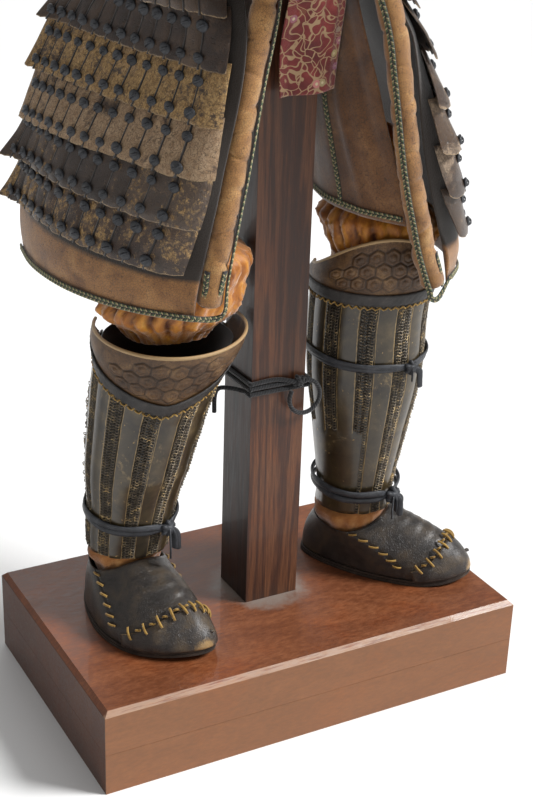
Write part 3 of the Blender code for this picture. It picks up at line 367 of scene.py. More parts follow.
def repeatTree(name, form, inputs):
    tree = bpy.data.node_groups.new(name, "GeometryNodeTree")
    face = tree.interface
    face.new_socket(name="Geometry", in_out="INPUT", socket_type="NodeSocketGeometry")
    face.new_socket(name="Geometry", in_out="OUTPUT", socket_type="NodeSocketGeometry")
    for label, value in inputs.items():
        face.new_socket(name=label, in_out="INPUT", socket_type="NodeSocketFloat").default_value = value
    face.new_socket(name="Size spread", in_out="INPUT", socket_type="NodeSocketFloat").default_value = 0.1
    face.new_socket(name="Finish", in_out="INPUT", socket_type="NodeSocketMaterial")
    start = tree.nodes.new("NodeGroupInput")
    end = tree.nodes.new("NodeGroupOutput")
    turn = addNode(tree, "GeometryNodeInputNamedAttribute", {"Name": "turn"}, data_type="FLOAT_VECTOR")
    size = addNode(tree, "GeometryNodeInputNamedAttribute", {"Name": "size"}, data_type="FLOAT_VECTOR")
    toTurn = addNode(tree, "FunctionNodeEulerToRotation", {0: turn.outputs["Attribute"]})
    chance = addNode(tree, "FunctionNodeRandomValue", {"Seed": 11}, data_type="FLOAT")
    low = addNode(tree, "ShaderNodeMath", {0: 1.0, 1: start.outputs["Size spread"]}, operation="SUBTRACT")
    high = addNode(tree, "ShaderNodeMath", {0: 1.0, 1: start.outputs["Size spread"]}, operation="ADD")
    tree.links.new(low.outputs[0], chance.inputs[2])
    tree.links.new(high.outputs[0], chance.inputs[3])
    grown = addNode(tree, "ShaderNodeVectorMath", {0: size.outputs["Attribute"], "Scale": chance.outputs[1]},
                    operation="SCALE")
    put = addNode(tree, "GeometryNodeInstanceOnPoints", {"Points": start.outputs["Geometry"],
                                                         "Instance": form(tree, start.outputs),
                                                         "Rotation": toTurn.outputs[0], "Scale": grown.outputs[0]})
    real = addNode(tree, "GeometryNodeRealizeInstances", {"Geometry": put.outputs[0]})
    smooth = addNode(tree, "GeometryNodeSetShadeSmooth", {"Geometry": real.outputs[0]})
    dress = addNode(tree, "GeometryNodeSetMaterial",
                    {"Geometry": smooth.outputs[0], "Material": start.outputs["Finish"]})
    tree.links.new(dress.outputs[0], end.inputs[0])
    return tree


def knotForm(tree, given):
    ball = addNode(tree, "GeometryNodeMeshUVSphere", {"Segments": 12, "Rings": 6, "Radius": 1.0})
    pressed = addNode(tree, "GeometryNodeTransform", {"Geometry": ball.outputs["Mesh"], "Scale": (1.0, 0.78, 0.42)})
    loop = addNode(tree, "GeometryNodeCurvePrimitiveCircle", {"Resolution": 10, "Radius": 0.66})
    stood = addNode(tree, "GeometryNodeTransform", {"Geometry": loop.outputs["Curve"], "Scale": (1.0, 1.0, 0.62),
                                                    "Rotation": (math.pi / 2, 0.0, 0.5)})
    strand = addNode(tree, "GeometryNodeCurvePrimitiveCircle", {"Resolution": 4, "Radius": given["Lace radius"]})
    lace = addNode(tree, "GeometryNodeCurveToMesh",
                   {"Curve": stood.outputs[0], "Profile Curve": strand.outputs["Curve"]})
    both = addNode(tree, "GeometryNodeJoinGeometry")
    tree.links.new(pressed.outputs[0], both.inputs[0])
    tree.links.new(lace.outputs[0], both.inputs[0])
    return both.outputs[0]


def ringForm(tree, given):
    loop = addNode(tree, "GeometryNodeCurvePrimitiveCircle", {"Resolution": 6, "Radius": given["Ring radius"]})
    wire = addNode(tree, "GeometryNodeCurvePrimitiveCircle", {"Resolution": 3, "Radius": given["Wire radius"]})
    return addNode(tree, "GeometryNodeCurveToMesh", {"Curve": loop.outputs["Curve"],
                                                     "Profile Curve": wire.outputs["Curve"]}).outputs[0]


def stitchForm(tree, given):
    arc = addNode(tree, "GeometryNodeCurveQuadraticBezier", {"Resolution": 6, "Start": (-0.5, 0.0, 0.0),
                                                             "Middle": (0.0, 0.0, 0.006), "End": (0.5, 0.0, 0.0)})
    thread = addNode(tree, "GeometryNodeCurvePrimitiveCircle", {"Resolution": 6, "Radius": given["Thread radius"]})
    return addNode(tree, "GeometryNodeCurveToMesh", {"Curve": arc.outputs["Curve"], "Fill Caps": True,
                                                     "Profile Curve": thread.outputs["Curve"]}).outputs[0]


def beadForm(tree, given):
    ball = addNode(tree, "GeometryNodeMeshUVSphere", {"Segments": 5, "Rings": 3, "Radius": 0.5})
    return addNode(tree, "GeometryNodeTransform",
                   {"Geometry": ball.outputs["Mesh"], "Scale": (1.0, 1.0, 1.0)}).outputs[0]


trees = {
    "knot": repeatTree("laceKnots", knotForm, {"Lace radius": 0.17}),
    "ring": repeatTree("mailRings", ringForm, {"Ring radius": 0.0026, "Wire radius": 0.0008}),
    "stitch": repeatTree("cordStitches", stitchForm, {"Thread radius": 0.0018}),
    "bead": repeatTree("braidThreads", beadForm, {}),
}


def repeatPiece(name, kind, places, finish, settings=None):
    mesh = bpy.data.meshes.new(name + "Points")
    mesh.from_pydata([tuple(p[0]) for p in places], [], [])
    turns = []
    sizes = []
    for point, normal, along, size, tone in places:
        z = Vector(normal).normalized()
        x = Vector(along) - Vector(along).dot(z) * z
        x.normalize()
        turns += list(Matrix((x, z.cross(x), z)).transposed().to_euler())
        sizes += list(size if np.ndim(size) else (size, size, size))
    for label, values in (("turn", turns), ("size", sizes)):
        mesh.attributes.new(label, "FLOAT_VECTOR", "POINT").data.foreach_set("vector", values)
    mesh.attributes.new("tone", "FLOAT", "POINT").data.foreach_set("value", [float(p[4]) for p in places])
    maker = bpy.data.objects.new(name + "Maker", mesh)
    repeat = maker.modifiers.new("repeat", "NODES")
    repeat.node_group = trees[kind]
    wanted = dict(settings or {}, Finish=finish)
    for item in trees[kind].interface.items_tree:
        if item.in_out == "INPUT" and item.name in wanted:
            repeat[item.identifier] = wanted[item.name]
    bpy.context.scene.collection.objects.link(maker)
    bpy.context.view_layer.update()
    result = bpy.data.meshes.new_from_object(maker.evaluated_get(bpy.context.evaluated_depsgraph_get()))
    result.name = name
    bpy.data.objects.remove(maker, do_unlink=True)
    piece = bpy.data.objects.new(name, result)
    bpy.context.scene.collection.objects.link(piece)
    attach(piece, "root")
    return piece


# rules of form, over arrays of points

def smoothAlong(values, t):
    v = np.array(values, float)
    place = np.clip(np.asarray(t, float), 0.0, 1.0) * (len(v) - 1)
    k = np.clip(np.floor(place).astype(int), 0, len(v) - 2)
    f = (place - k).reshape(place.shape + (1,) * (v.ndim - 1))
    a, b, c, d = v[np.maximum(k - 1, 0)], v[k], v[k + 1], v[np.minimum(k + 2, len(v) - 1)]
    return 0.5 * (2 * b + (c - a) * f + (2 * a - 5 * b + 4 * c - d) * f ** 2 + (3 * b - a - 3 * c + d) * f ** 3)


def atHeight(table, z):
    rows = np.array(table, float)
    return smoothAlong(rows[:, 1:], np.interp(z, rows[:, 0], np.linspace(0.0, 1.0, len(rows))))


def onRing(x, y, sideways, forward, angle, yaw, z):
    a = np.radians(angle)
    w = math.radians(yaw)
    s = sideways * np.sin(a)
    f = forward * np.cos(a)
    return np.stack(np.broadcast_arrays(x + s * math.cos(w) + f * math.sin(w),
                                        y + s * math.sin(w) - f * math.cos(w), z), axis=-1)


def waves(points, scale, seed, count=7):
    # soft unevenness, about -1 to 1
    chance = np.random.RandomState(seed)
    p = np.asarray(points, float)
    total = np.zeros(p.shape[:-1])
    for k in range(count):
        way = chance.normal(size=3)
        way *= scale * chance.uniform(0.6, 1.7) / np.linalg.norm(way)
        total += np.sin(p @ way + chance.uniform(0.0, 6.28))
    return total / count ** 0.5


def creases(u, v, size, rows, around=False):
    # each row: start across and up, end across and up, width and depth in mm, a trough being minus
    total = np.zeros(np.broadcast(u, v).shape)
    for startU, startV, endU, endV, width, depth in rows:
        du = u - startU
        if around:
            du = (du + 0.5) % 1.0 - 0.5
        px, py = du * size[0], (v - startV) * size[1]
        lx, ly = (endU - startU) * size[0], (endV - startV) * size[1]
        t = np.clip((px * lx + py * ly) / (lx * lx + ly * ly), 0.0, 1.0)
        away = np.hypot(px - t * lx, py - t * ly)
        total += depth * 0.001 * np.sin(math.pi * np.clip(t, 0.06,
                                                          0.94)) ** 0.6 * np.exp(-(away / (width * 0.001)) ** 2)
    return total


def spread(columns, rows):
    return np.meshgrid(np.linspace(0.0, 1.0, columns), np.linspace(0.0, 1.0, rows))


def turns(columns, rows):
    return np.meshgrid(np.arange(columns) / columns, np.linspace(0.0, 1.0, rows))


stand = {"baseHalf": (0.325, 0.20035), "baseTop": 0.1265, "postMiddle": (0.006, 0.005),
         "postHalf": (0.04175, 0.03995), "bodyY": 0.052}

# each foot: heel x and y, its way from -Y toward +X, toe bend and half width
feet = {"right": (-0.203, 0.122, 2.0, 0.040, 0.063), "left": (0.122, 0.080, 42.0, 0.004, 0.059)}
shoe = {"length": 0.267, "sole": 0.008, "wall": 0.003, "capTurns": 75.0}
# each leg: height, centre x and y, radius of its guard
legs = {
    "right": [(0.150, -0.189, 0.046, 0.038), (0.205, -0.188, 0.045, 0.0517), (0.250, -0.186, 0.043, 0.0585),
              (0.300, -0.183, 0.036, 0.0610), (0.355, -0.178, 0.028, 0.0700), (0.450, -0.168, 0.0125, 0.0790),
              (0.500, -0.160, 0.002, 0.0850), (0.570, -0.147, -0.011, 0.0940)],
    "left": [(0.150, 0.172, 0.020, 0.038), (0.205, 0.172, 0.018, 0.0548), (0.260, 0.169, 0.010, 0.0540),
             (0.364, 0.170, 0.007, 0.0685), (0.450, 0.171, 0.006, 0.0810), (0.540, 0.1716, 0.0064, 0.0825),
             (0.600, 0.176, 0.004, 0.0840), (0.680, 0.1786, 0.0025, 0.0850)],
}
# each knee: facing angle, lower edge at front and side, rim at front and side, rim radius
knees = {"right": (-14.0, 0.479, 0.552, 0.561, 0.570, 0.1020), "left": (-18.0, 0.583, 0.583, 0.668, 0.604, 0.0860)}
shin = {"yaw": {"right": -5.0, "left": -14.0}, "hem": {"right": 0.228, "left": 0.232}, "wall": 0.003,
        "raise": 0.0025, "pitch": 36.0, "half": 9.5, "splints": 7, "inset": -0.0049, "spread": 112.0}
hexes = {"width": 0.0228, "shrink": 0.90, "rows": ((-1, 7), (0, 8), (1, 5)), "arcRadius": 0.092, "tall": 0.080}

# each thigh guard: height, then six points from its front edge round to the back
thighs = {
    "right": [
        (0.615, (-0.170, -0.127), (-0.214, -0.080), (-0.250, -0.014), (-0.272, 0.060), (-0.277, 0.145),
         (-0.264, 0.225)),
        (0.800, (-0.141, -0.144), (-0.175, -0.125), (-0.205, -0.034), (-0.230, 0.055), (-0.246, 0.140),
         (-0.250, 0.225)),
        (0.950, (-0.110, -0.135), (-0.130, -0.094), (-0.150, -0.020), (-0.168, 0.060), (-0.187, 0.142),
         (-0.202, 0.225)),
        (1.052, (-0.090, -0.071), (-0.125, -0.045), (-0.152, -0.009), (-0.1665, 0.052), (-0.157, 0.103),
         (-0.132, 0.142)),
        (1.095, (-0.090, -0.071), (-0.125, -0.045), (-0.152, -0.009), (-0.1665, 0.052), (-0.157, 0.103),
         (-0.132, 0.142)),
    ],
    "left": [
        (0.615, (0.210, -0.126), (0.248, -0.090), (0.276, -0.030), (0.292, 0.040), (0.287, 0.120), (0.262, 0.195)),
        (0.800, (0.149, -0.140), (0.194, -0.126), (0.222, -0.050), (0.240, 0.030), (0.248, 0.120), (0.247, 0.210)),
        (0.950, (0.123, -0.134), (0.146, -0.098), (0.158, -0.025), (0.172, 0.055), (0.187, 0.135), (0.200, 0.215)),
        (1.052, (0.090, -0.071), (0.125, -0.045), (0.152, -0.009), (0.1665, 0.052), (0.157, 0.103), (0.132, 0.142)),
        (1.095, (0.090, -0.071), (0.125, -0.045), (0.152, -0.009), (0.1665, 0.052), (0.157, 0.103), (0.132, 0.142)),
    ],
}
clothLevels = (0.615, 0.680, 0.740, 0.800, 0.860, 0.920, 0.980, 1.052, 1.095)
levelLift = (0.0, 0.022, 0.018, 0.006, 0.014, 0.018, 0.008, 0.0, 0.0)
rowFlare = (0.0, 0.024, 0.026, 0.004, 0.010, 0.014, 0.006)
plates = {"count": 13, "tall": 0.071, "wall": 0.0026, "outLow": 0.0140, "outHigh": 0.0034, "slit": 0.0015,
          "start": 0.032, "end": 0.985}
knots = {"heights": (0.0115, 0.0460), "half": 0.0088}
# how gold, pale and grey each row's leather shows: worn leather, and on the left rows the pale and grey are partly a
# painted reflection of the side light at grazing angles
rowLooks = {
    "right": {"a": (0.62, 0.05, 0.3), "b": (0.40, 0.0, 0.7), "c": (0.45, 0.80, 0.2), "d": (0.85, 0.30, 0.0),
              "e": (0.18, 0.10, 0.5), "f": (0.1, 0.0, 0.5)},
    "left": {"a": (0.20, 0.30, 0.55), "b": (0.20, 0.36, 0.60), "c": (0.22, 0.44, 0.55), "d": (0.28, 0.38, 0.50),
             "e": (0.26, 0.28, 0.55), "f": (0.1, 0.0, 0.5)},
}
# each front roll: height, x, y
rolls = {
    "right": [(0.630, -0.1456, -0.120), (0.660, -0.1436, -0.1255), (0.710, -0.1366, -0.129), (0.800, -0.1196, -0.129),
              (0.900, -0.1006, -0.125), (1.000, -0.0766, -0.115), (1.045, -0.070, -0.104)],
    "left": [(0.612, 0.187, -0.127), (0.660, 0.166, -0.131), (0.765, 0.136, -0.132), (0.870, 0.116, -0.130),
             (0.950, 0.102, -0.126), (1.000, 0.090, -0.116), (1.045, 0.070, -0.104)],
}
rollRadius = 0.016
braid = {"halfWidth": 0.0042, "halfThick": 0.0016}
inners = {
    "right": [(0.705, (-0.1225, -0.1178), (-0.100, -0.060), (-0.092, 0.010), (-0.105, 0.085), (-0.150, 0.150)),
              (0.850, (-0.0968, -0.1124), (-0.076, -0.055), (-0.070, 0.010), (-0.082, 0.075), (-0.120, 0.135)),
              (1.040, (-0.057, -0.091), (-0.060, -0.045), (-0.056, 0.010), (-0.062, 0.060), (-0.090, 0.105))],
    "left": [(0.700, (0.1422, -0.1190), (0.112, -0.060), (0.100, 0.010), (0.116, 0.085), (0.160, 0.150)),
             (0.850, (0.102, -0.113), (0.080, -0.055), (0.072, 0.010), (0.082, 0.075), (0.120, 0.135)),
             (1.040, (0.057, -0.091), (0.060, -0.045), (0.056, 0.010), (0.062, 0.060), (0.090, 0.105))],
}
# each trouser leg: height, centre x and y, side and front radius, depth of its gathers
trousers = {
    "right": [(0.562, -0.150, -0.010, 0.052, 0.052, 0.003), (0.580, -0.150, -0.008, 0.068, 0.066, 0.007),
              (0.600, -0.149, -0.006, 0.094, 0.086, 0.009), (0.630, -0.139, -0.012, 0.088, 0.082, 0.009),
              (0.668, -0.132, -0.012, 0.088, 0.084, 0.008), (0.703, -0.146, 0.000, 0.0524, 0.076, 0.004),
              (0.800, -0.146, 0.010, 0.046, 0.080, 0.002)],
    "left": [(0.612, 0.176, 0.002, 0.062, 0.060, 0.003), (0.630, 0.180, 0.004, 0.066, 0.068, 0.005),
             (0.655, 0.184, 0.006, 0.080, 0.078, 0.008), (0.680, 0.184, 0.010, 0.0837, 0.082, 0.008),
             (0.703, 0.178, 0.014, 0.0612, 0.075, 0.005), (0.740, 0.170, 0.018, 0.052, 0.076, 0.003),
             (0.800, 0.156, 0.020, 0.046, 0.078, 0.002)],
}


# finishes

def woodFinish(name, stretch, stops, shadeTint, shadeFrom, shadeTo, axis, ringCount, ringDepth, pale=(0.60, 0.48, 0.34)):
    # grain along one axis; faces past shadeFrom on the axis given get painted shade, multiplied by shadeTint to a
    # darker, greyer wood
    finish, tree, shader = startMaterial(name, 0.46, coat=0.12)
    place = objectPlace(tree, stretch)
    warped = noiseOf(tree, place, 1.5, 3.0, 0.5, 0.8)
    rings = addNode(tree, "ShaderNodeMath", {0: warped, 1: ringCount}, operation="MULTIPLY")
    ringWave = addNode(tree, "ShaderNodeMath", {0: rings.outputs[0]}, operation="SINE")
    fine = noiseOf(tree, place, 26.0, 8.0, 0.72)
    grain = sumOf(tree, sumOf(tree, ringWave.outputs[0], ringDepth, "MULTIPLY"), sumOf(tree, fine, 0.60, "MULTIPLY"))
    grain = sumOf(tree, grain, 0.20)
    colour = rampOf(tree, grain, stops)
    blotch = noiseOf(tree, objectPlace(tree), 9.0, 4.0, 0.6)
    colour = mixOf(tree, maskOf(tree, blotch, 0.48, 0.72), colour, pale, "SOFT_LIGHT")
    split = addNode(tree, "ShaderNodeSeparateXYZ", {0: objectPlace(tree)})
    # painted shade on the face turned away from the key light
    side = maskOf(tree, split.outputs[axis], shadeFrom, shadeTo)
    colour = mixOf(tree, side, colour, shadeTint, "MULTIPLY")
    setSurface(tree, shader, colour, rampOf(tree, fine, [(0.3, (0.36,) * 3), (0.7, (0.6,) * 3)]), grain, 0.35, 0.0012)
    return finish, tree, shader, colour


def hideFinish(name, stops, rub, rubLow, rubHigh, scale=38.0, roughness=0.55, bump=0.5, sheen=0.0, coat=0.0,
               tooled=False, shadedAboveHem=False):
    # leather or suede: mottled colour, rubbed paler in patches, fine grain and cracks
    finish, tree, shader = startMaterial(name, roughness, sheen=sheen, coat=coat)
    place = objectPlace(tree)
    broad = noiseOf(tree, place, scale, 7.0, 0.65, 0.4)
    fine = noiseOf(tree, place, scale * 9, 6.0, 0.7)
    colour = rampOf(tree, broad, stops)
    worn = maskOf(tree, sumOf(tree, noiseOf(tree, place, scale * 1.9, 9.0, 0.74),
                              sumOf(tree, fine, 0.25, "MULTIPLY")),
                  rubLow, rubHigh)
    colour = mixOf(tree, worn, colour, rub)
    cracks = addNode(tree, "ShaderNodeTexVoronoi", {"Vector": place, "Scale": scale * 12}, feature="DISTANCE_TO_EDGE")
    crackMask = maskOf(tree, cracks.outputs["Distance"], 0.0, 0.10)
    colour = mixOf(tree, crackMask, mixOf(tree, 0.6, colour, (0.02, 0.014, 0.01)), colour)
    if shadedAboveHem:
        # painted shade: above the hem band, under the plates, and on the inner face the cloth is painted near black so
        # the slits between plates read dark
        colour = mixOf(tree, attributeOf(tree, "band"), (0.022, 0.014, 0.009), colour)
    if tooled:
        edge = maskOf(tree, sumOf(tree, attributeOf(tree, "edge"), sumOf(tree, fine, 0.9, "MULTIPLY")), 0.75, 1.25)
        colour = mixOf(tree, edge, colour, rub)
        # painted shade: the knee guard's hex grooves are painted dark, standing in for the shade in them
        colour = mixOf(tree, sumOf(tree, attributeOf(tree, "grooveShade"), 0.85, "MULTIPLY"), colour,
                       (0.030, 0.016, 0.009))
    setSurface(tree, shader, colour, rampOf(tree, worn,
                                            [(0.0, (roughness,) * 3), (1.0, (min(0.9, roughness + 0.25),) * 3)]),
               sumOf(tree, fine, sumOf(tree, crackMask, 0.5, "MULTIPLY")), bump, 0.0008)
    return finish


def clothFinish(name, stops, scale=30.0, thread=0.0009, sheen=0.5, roughness=0.85, bump=0.35, specular=0.3,
                streak=1.0):
    # woven cloth: threads along its own cut, colour varied along them
    finish, tree, shader = startMaterial(name, roughness, sheen=sheen, specular=specular)
    shader.inputs["Sheen Roughness"].default_value = 0.4
    flat = addNode(tree, "ShaderNodeTexCoord").outputs["UV"]
    along = addNode(tree, "ShaderNodeMapping", {"Vector": flat, "Scale": (streak, 1.0, 1.0)}).outputs["Vector"]
    broad = noiseOf(tree, along, scale, 6.0, 0.65, 0.3)
    colour = rampOf(tree, broad, stops)
    split = addNode(tree, "ShaderNodeSeparateXYZ", {0: flat})
    threads = []
    for axis in (0, 1):
        angle = sumOf(tree, split.outputs[axis], 2 * math.pi / thread, "MULTIPLY")
        threads.append(addNode(tree, "ShaderNodeMath", {0: angle}, operation="SINE").outputs[0])
    weave = sumOf(tree, threads[0], threads[1], "MULTIPLY")
    colour = mixOf(tree, sumOf(tree, sumOf(tree, weave, 0.12, "MULTIPLY"), 0.12), colour, (0.05, 0.03, 0.02))
    setSurface(tree, shader, colour, None, weave, bump, 0.0003)
    return finish, tree, shader, colour


def plateFinish():
    finish, tree, shader = startMaterial("plateLeather", 0.42, coat=0.15)
    place = objectPlace(tree)
    tone, gold, pale, grey, edge = (attributeOf(tree, n) for n in ("tone", "gold", "pale", "grey", "edge"))
    broad = noiseOf(tree, place, 34.0, 8.0, 0.7, 0.5)
    fine = noiseOf(tree, place, 120.0, 9.0, 0.75, 0.3)
    # grey turns the leather greyer: its own grey tone, and on the left rows partly a painted reflection
    base = mixOf(tree, grey, rampOf(tree, broad, [(0.3, (0.016, 0.010, 0.007)), (0.5, (0.055, 0.026, 0.014)),
                                                  (0.68, (0.13, 0.066, 0.030))]),
                 rampOf(tree, broad, [(0.3, (0.012, 0.011, 0.012)), (0.55, (0.034, 0.030, 0.029)),
                                      (0.72, (0.085, 0.072, 0.062))]))
    base = mixOf(tree, sumOf(tree, tone, 0.55, "MULTIPLY"), base, (0.16, 0.10, 0.06))
    # gold lacquer left on the leather in crackled flakes
    flakes = maskOf(tree, sumOf(tree, sumOf(tree, fine, sumOf(tree, broad, 0.5, "MULTIPLY")),
                                sumOf(tree, gold, 0.42, "MULTIPLY")), 0.98, 1.10)
    goldColour = rampOf(tree, noiseOf(tree, place, 210.0, 5.0),
                        [(0.3, (0.20, 0.105, 0.035)), (0.7, (0.56, 0.36, 0.15))])
    colour = mixOf(tree, flakes, base, goldColour)
    # bare pale hide where the lacquer is gone, and on the left rows partly a painted reflection of the side light
    bare = maskOf(tree, sumOf(tree, noiseOf(tree, place, 21.0, 9.0, 0.68, 0.7), sumOf(tree, pale, 0.40, "MULTIPLY")),
                  0.68, 0.80)
    hide = mixOf(tree, grey, rampOf(tree, fine, [(0.3, (0.26, 0.135, 0.055)), (0.7, (0.56, 0.385, 0.22))]),
                 rampOf(tree, fine, [(0.3, (0.10, 0.083, 0.070)), (0.52, (0.24, 0.20, 0.165)),
                                     (0.75, (0.44, 0.37, 0.29))]))
    colour = mixOf(tree, bare, colour, hide)
    rubbed = maskOf(tree, sumOf(tree, edge, sumOf(tree, fine, 0.8, "MULTIPLY")), 1.12, 1.42)
    colour = mixOf(tree, rubbed, colour, (0.40, 0.28, 0.16))
    cracks = addNode(tree, "ShaderNodeTexVoronoi", {"Vector": mixOf(tree, 0.03, place, addNode(
        tree, "ShaderNodeTexNoise", {"Vector": place, "Scale": 60.0}).outputs["Color"]), "Scale": 230.0},
        feature="DISTANCE_TO_EDGE")
    crack = maskOf(tree, cracks.outputs["Distance"], 0.0, 0.09)
    colour = mixOf(tree, crack, mixOf(tree, 0.65, colour, (0.015, 0.010, 0.008)), colour)
    rough = rampOf(tree, sumOf(tree, flakes, bare, "MAXIMUM"), [(0.0, (0.34,) * 3), (1.0, (0.68,) * 3)])
    height = sumOf(tree, sumOf(tree, crack, sumOf(tree, flakes, 0.6, "MULTIPLY")), sumOf(tree, fine, 0.8, "MULTIPLY"))
    setSurface(tree, shader, colour, rough, height, 0.55, 0.0008)
    return finish


def lacquerFinish(name, stops, edgeColour, spotColour, spotLow=0.70, roughness=0.30, backing=None):
    # smooth lacquer over leather: worn along edges, with small gold spots
    finish, tree, shader = startMaterial(name, roughness, coat=0.35)
    shader.inputs["Coat Roughness"].default_value = 0.25
    place = objectPlace(tree)
    broad = noiseOf(tree, place, 26.0, 7.0, 0.62, 0.4)
    fine = noiseOf(tree, place, 170.0, 7.0, 0.7)
    colour = rampOf(tree, broad, stops)
    spots = maskOf(tree, sumOf(tree, fine, sumOf(tree, noiseOf(tree, place, 48.0, 4.0), 0.35, "MULTIPLY")),
                   spotLow + 0.12, spotLow + 0.2)
    colour = mixOf(tree, spots, colour, spotColour)
    edge = attributeOf(tree, "edge")
    worn = maskOf(tree, sumOf(tree, edge, sumOf(tree, fine, 0.9, "MULTIPLY")), 1.05, 1.45)
    patches = maskOf(tree, sumOf(tree, noiseOf(tree, place, 17.0, 9.0, 0.72, 0.8),
                                 sumOf(tree, fine, 0.25, "MULTIPLY")), 0.70, 0.84)
    worn = sumOf(tree, worn, sumOf(tree, patches, 0.6, "MULTIPLY"), "MAXIMUM")
    colour = mixOf(tree, worn, colour, edgeColour)
    rough = rampOf(tree, sumOf(tree, spots, worn, "MAXIMUM"), [(0.0, (roughness,) * 3), (1.0, (0.62,) * 3)])
    if backing:
        colour = mixOf(tree, attributeOf(tree, "cover"), backing, colour)
    setSurface(tree, shader, colour, rough, sumOf(tree, fine, sumOf(tree, spots, 0.8, "MULTIPLY")), 0.28, 0.0006)
    return finish


def metalFinish(name, stops, roughness=0.42):
    finish, tree, shader = startMaterial(name, roughness, metallic=0.85)
    place = objectPlace(tree)
    broad = noiseOf(tree, place, 90.0, 6.0, 0.65)
    setSurface(tree, shader, rampOf(tree, broad, stops),
               rampOf(tree, broad, [(0.3, (roughness - 0.1,) * 3), (0.7, (roughness + 0.2,) * 3)]), broad, 0.3,
               0.0005)
    return finish


def threadFinish(name, stops, roughness=0.7, byTone=False, twist=0.0):
    # cord and thread: twisted strands with painted shade in the grooves between them, or one colour for each strand by
    # its tone
    finish, tree, shader = startMaterial(name, roughness, sheen=0.3, specular=0.35)
    value = attributeOf(tree, "tone") if byTone else noiseOf(tree, objectPlace(tree), 120.0, 5.0, 0.7)
    colour = rampOf(tree, value, stops)
    height = noiseOf(tree, objectPlace(tree), 900.0, 3.0)
    if twist:
        split = addNode(tree, "ShaderNodeSeparateXYZ", {0: addNode(tree, "ShaderNodeTexCoord").outputs["UV"]})
        lean = sumOf(tree, sumOf(tree, split.outputs[0], 0.6, "MULTIPLY"), split.outputs[1])
        angle = sumOf(tree, lean, 2 * math.pi / twist, "MULTIPLY")
        height = addNode(tree, "ShaderNodeMath", {0: angle}, operation="SINE").outputs[0]
        # painted shade: the grooves between the twisted strands are painted near black
        colour = mixOf(tree, maskOf(tree, height, -0.9, 0.4), (0.003, 0.003, 0.004), colour)
    setSurface(tree, shader, colour, None, height, 0.5, 0.0006)
    return finish


def brocadeFinish():
    # red silk ground, cream tendrils and small green and purple blooms
    finish, tree, shader, ground = clothFinish("sashBrocade",
                                               [(0.3, (0.11, 0.010, 0.011)), (0.55, (0.28, 0.028, 0.028)),
                                               (0.75, (0.46, 0.080, 0.070))], 26.0, 0.0008, 0.5, 0.55, 0.4, 0.5)
    flat = addNode(tree, "ShaderNodeTexCoord").outputs["UV"]
    swirl = addNode(tree, "ShaderNodeTexNoise", {"Vector": flat, "Scale": 36.0, "Detail": 1.0})
    bent = mixOf(tree, 0.05, flat, swirl.outputs["Color"])
    cells = addNode(tree, "ShaderNodeTexVoronoi", {"Vector": bent, "Scale": 62.0}, feature="DISTANCE_TO_EDGE")
    tendril = maskOf(tree, cells.outputs["Distance"], 0.075, 0.035)
    blooms = addNode(tree, "ShaderNodeTexVoronoi", {"Vector": flat, "Scale": 58.0}, feature="F1")
    petal = maskOf(tree, blooms.outputs["Distance"], 0.36, 0.28)
    heart = maskOf(tree, blooms.outputs["Distance"], 0.16, 0.10)
    kind = addNode(tree, "ShaderNodeSeparateColor", {0: blooms.outputs["Color"]})
    petalColour = rampOf(tree, kind.outputs[0], [(0.0, (0.30, 0.34, 0.10)), (0.34, (0.62, 0.52, 0.20)),
                                                 (0.62, (0.22, 0.09, 0.20)), (0.9, (0.70, 0.26, 0.24))])
    shown = sumOf(tree, petal, maskOf(tree, kind.outputs[1], 0.35, 0.45), "MULTIPLY")
    colour = mixOf(tree, tendril, ground, (0.50, 0.33, 0.18))
    colour = mixOf(tree, shown, colour, petalColour)
    colour = mixOf(tree, sumOf(tree, heart, shown, "MULTIPLY"), colour, (0.78, 0.66, 0.42))
    tree.links.new(colour, shader.inputs["Base Color"])
    return finish


# the base's left face gets painted shade
baseWood, woodTree, woodShader, woodColour = woodFinish(
    "baseWood", (3.0, 9.0, 9.0), [(0.28, (0.075, 0.022, 0.009)), (0.46, (0.165, 0.050, 0.018)),
                                  (0.60, (0.26, 0.088, 0.033)), (0.80, (0.36, 0.16, 0.072))],
    (0.42, 0.42, 0.44), -0.3238, -0.3249, 0, 22.0, 0.030)
woodPlace = addNode(woodTree, "ShaderNodeSeparateXYZ", {0: objectPlace(woodTree)})
# painted light: the base's front face, turned toward the key light, is mixed half toward a lighter tan
frontLitTan = maskOf(woodTree, woodPlace.outputs[1], -0.1990, -0.2002)
woodColour = mixOf(woodTree, frontLitTan, woodColour, mixOf(woodTree, 0.50, woodColour, (0.27, 0.125, 0.048)))
chamferPale = sumOf(woodTree, maskOf(woodTree, woodPlace.outputs[1], -0.1930, -0.1942),
                    maskOf(woodTree, woodPlace.outputs[2], 0.1192, 0.1202), "MULTIPLY")
chamferPale = sumOf(woodTree, chamferPale,
                    maskOf(woodTree, noiseOf(woodTree, objectPlace(woodTree, (3, 40, 40)), 9.0), 0.3, 0.55),
                    "MULTIPLY")
woodColour = mixOf(woodTree, sumOf(woodTree, chamferPale, 0.5, "MULTIPLY"), woodColour, (0.50, 0.33, 0.21))
# pale dust round the post's foot
dustPlace = addNode(woodTree, "ShaderNodeMapping",
                    {"Vector": objectPlace(woodTree), "Location": (-0.006, -0.005, -0.1265)})
dustAway = addNode(woodTree, "ShaderNodeVectorMath", {0: dustPlace.outputs[0]}, operation="LENGTH").outputs["Value"]
dustAway = sumOf(woodTree, dustAway, sumOf(woodTree, noiseOf(woodTree, objectPlace(woodTree), 30.0, 6.0, 0.7), 0.06,
                                           "MULTIPLY"))
woodColour = mixOf(woodTree, maskOf(woodTree, dustAway, 0.112, 0.076), woodColour, (0.24, 0.19, 0.16))
woodTree.links.new(woodColour, woodShader.inputs["Base Color"])

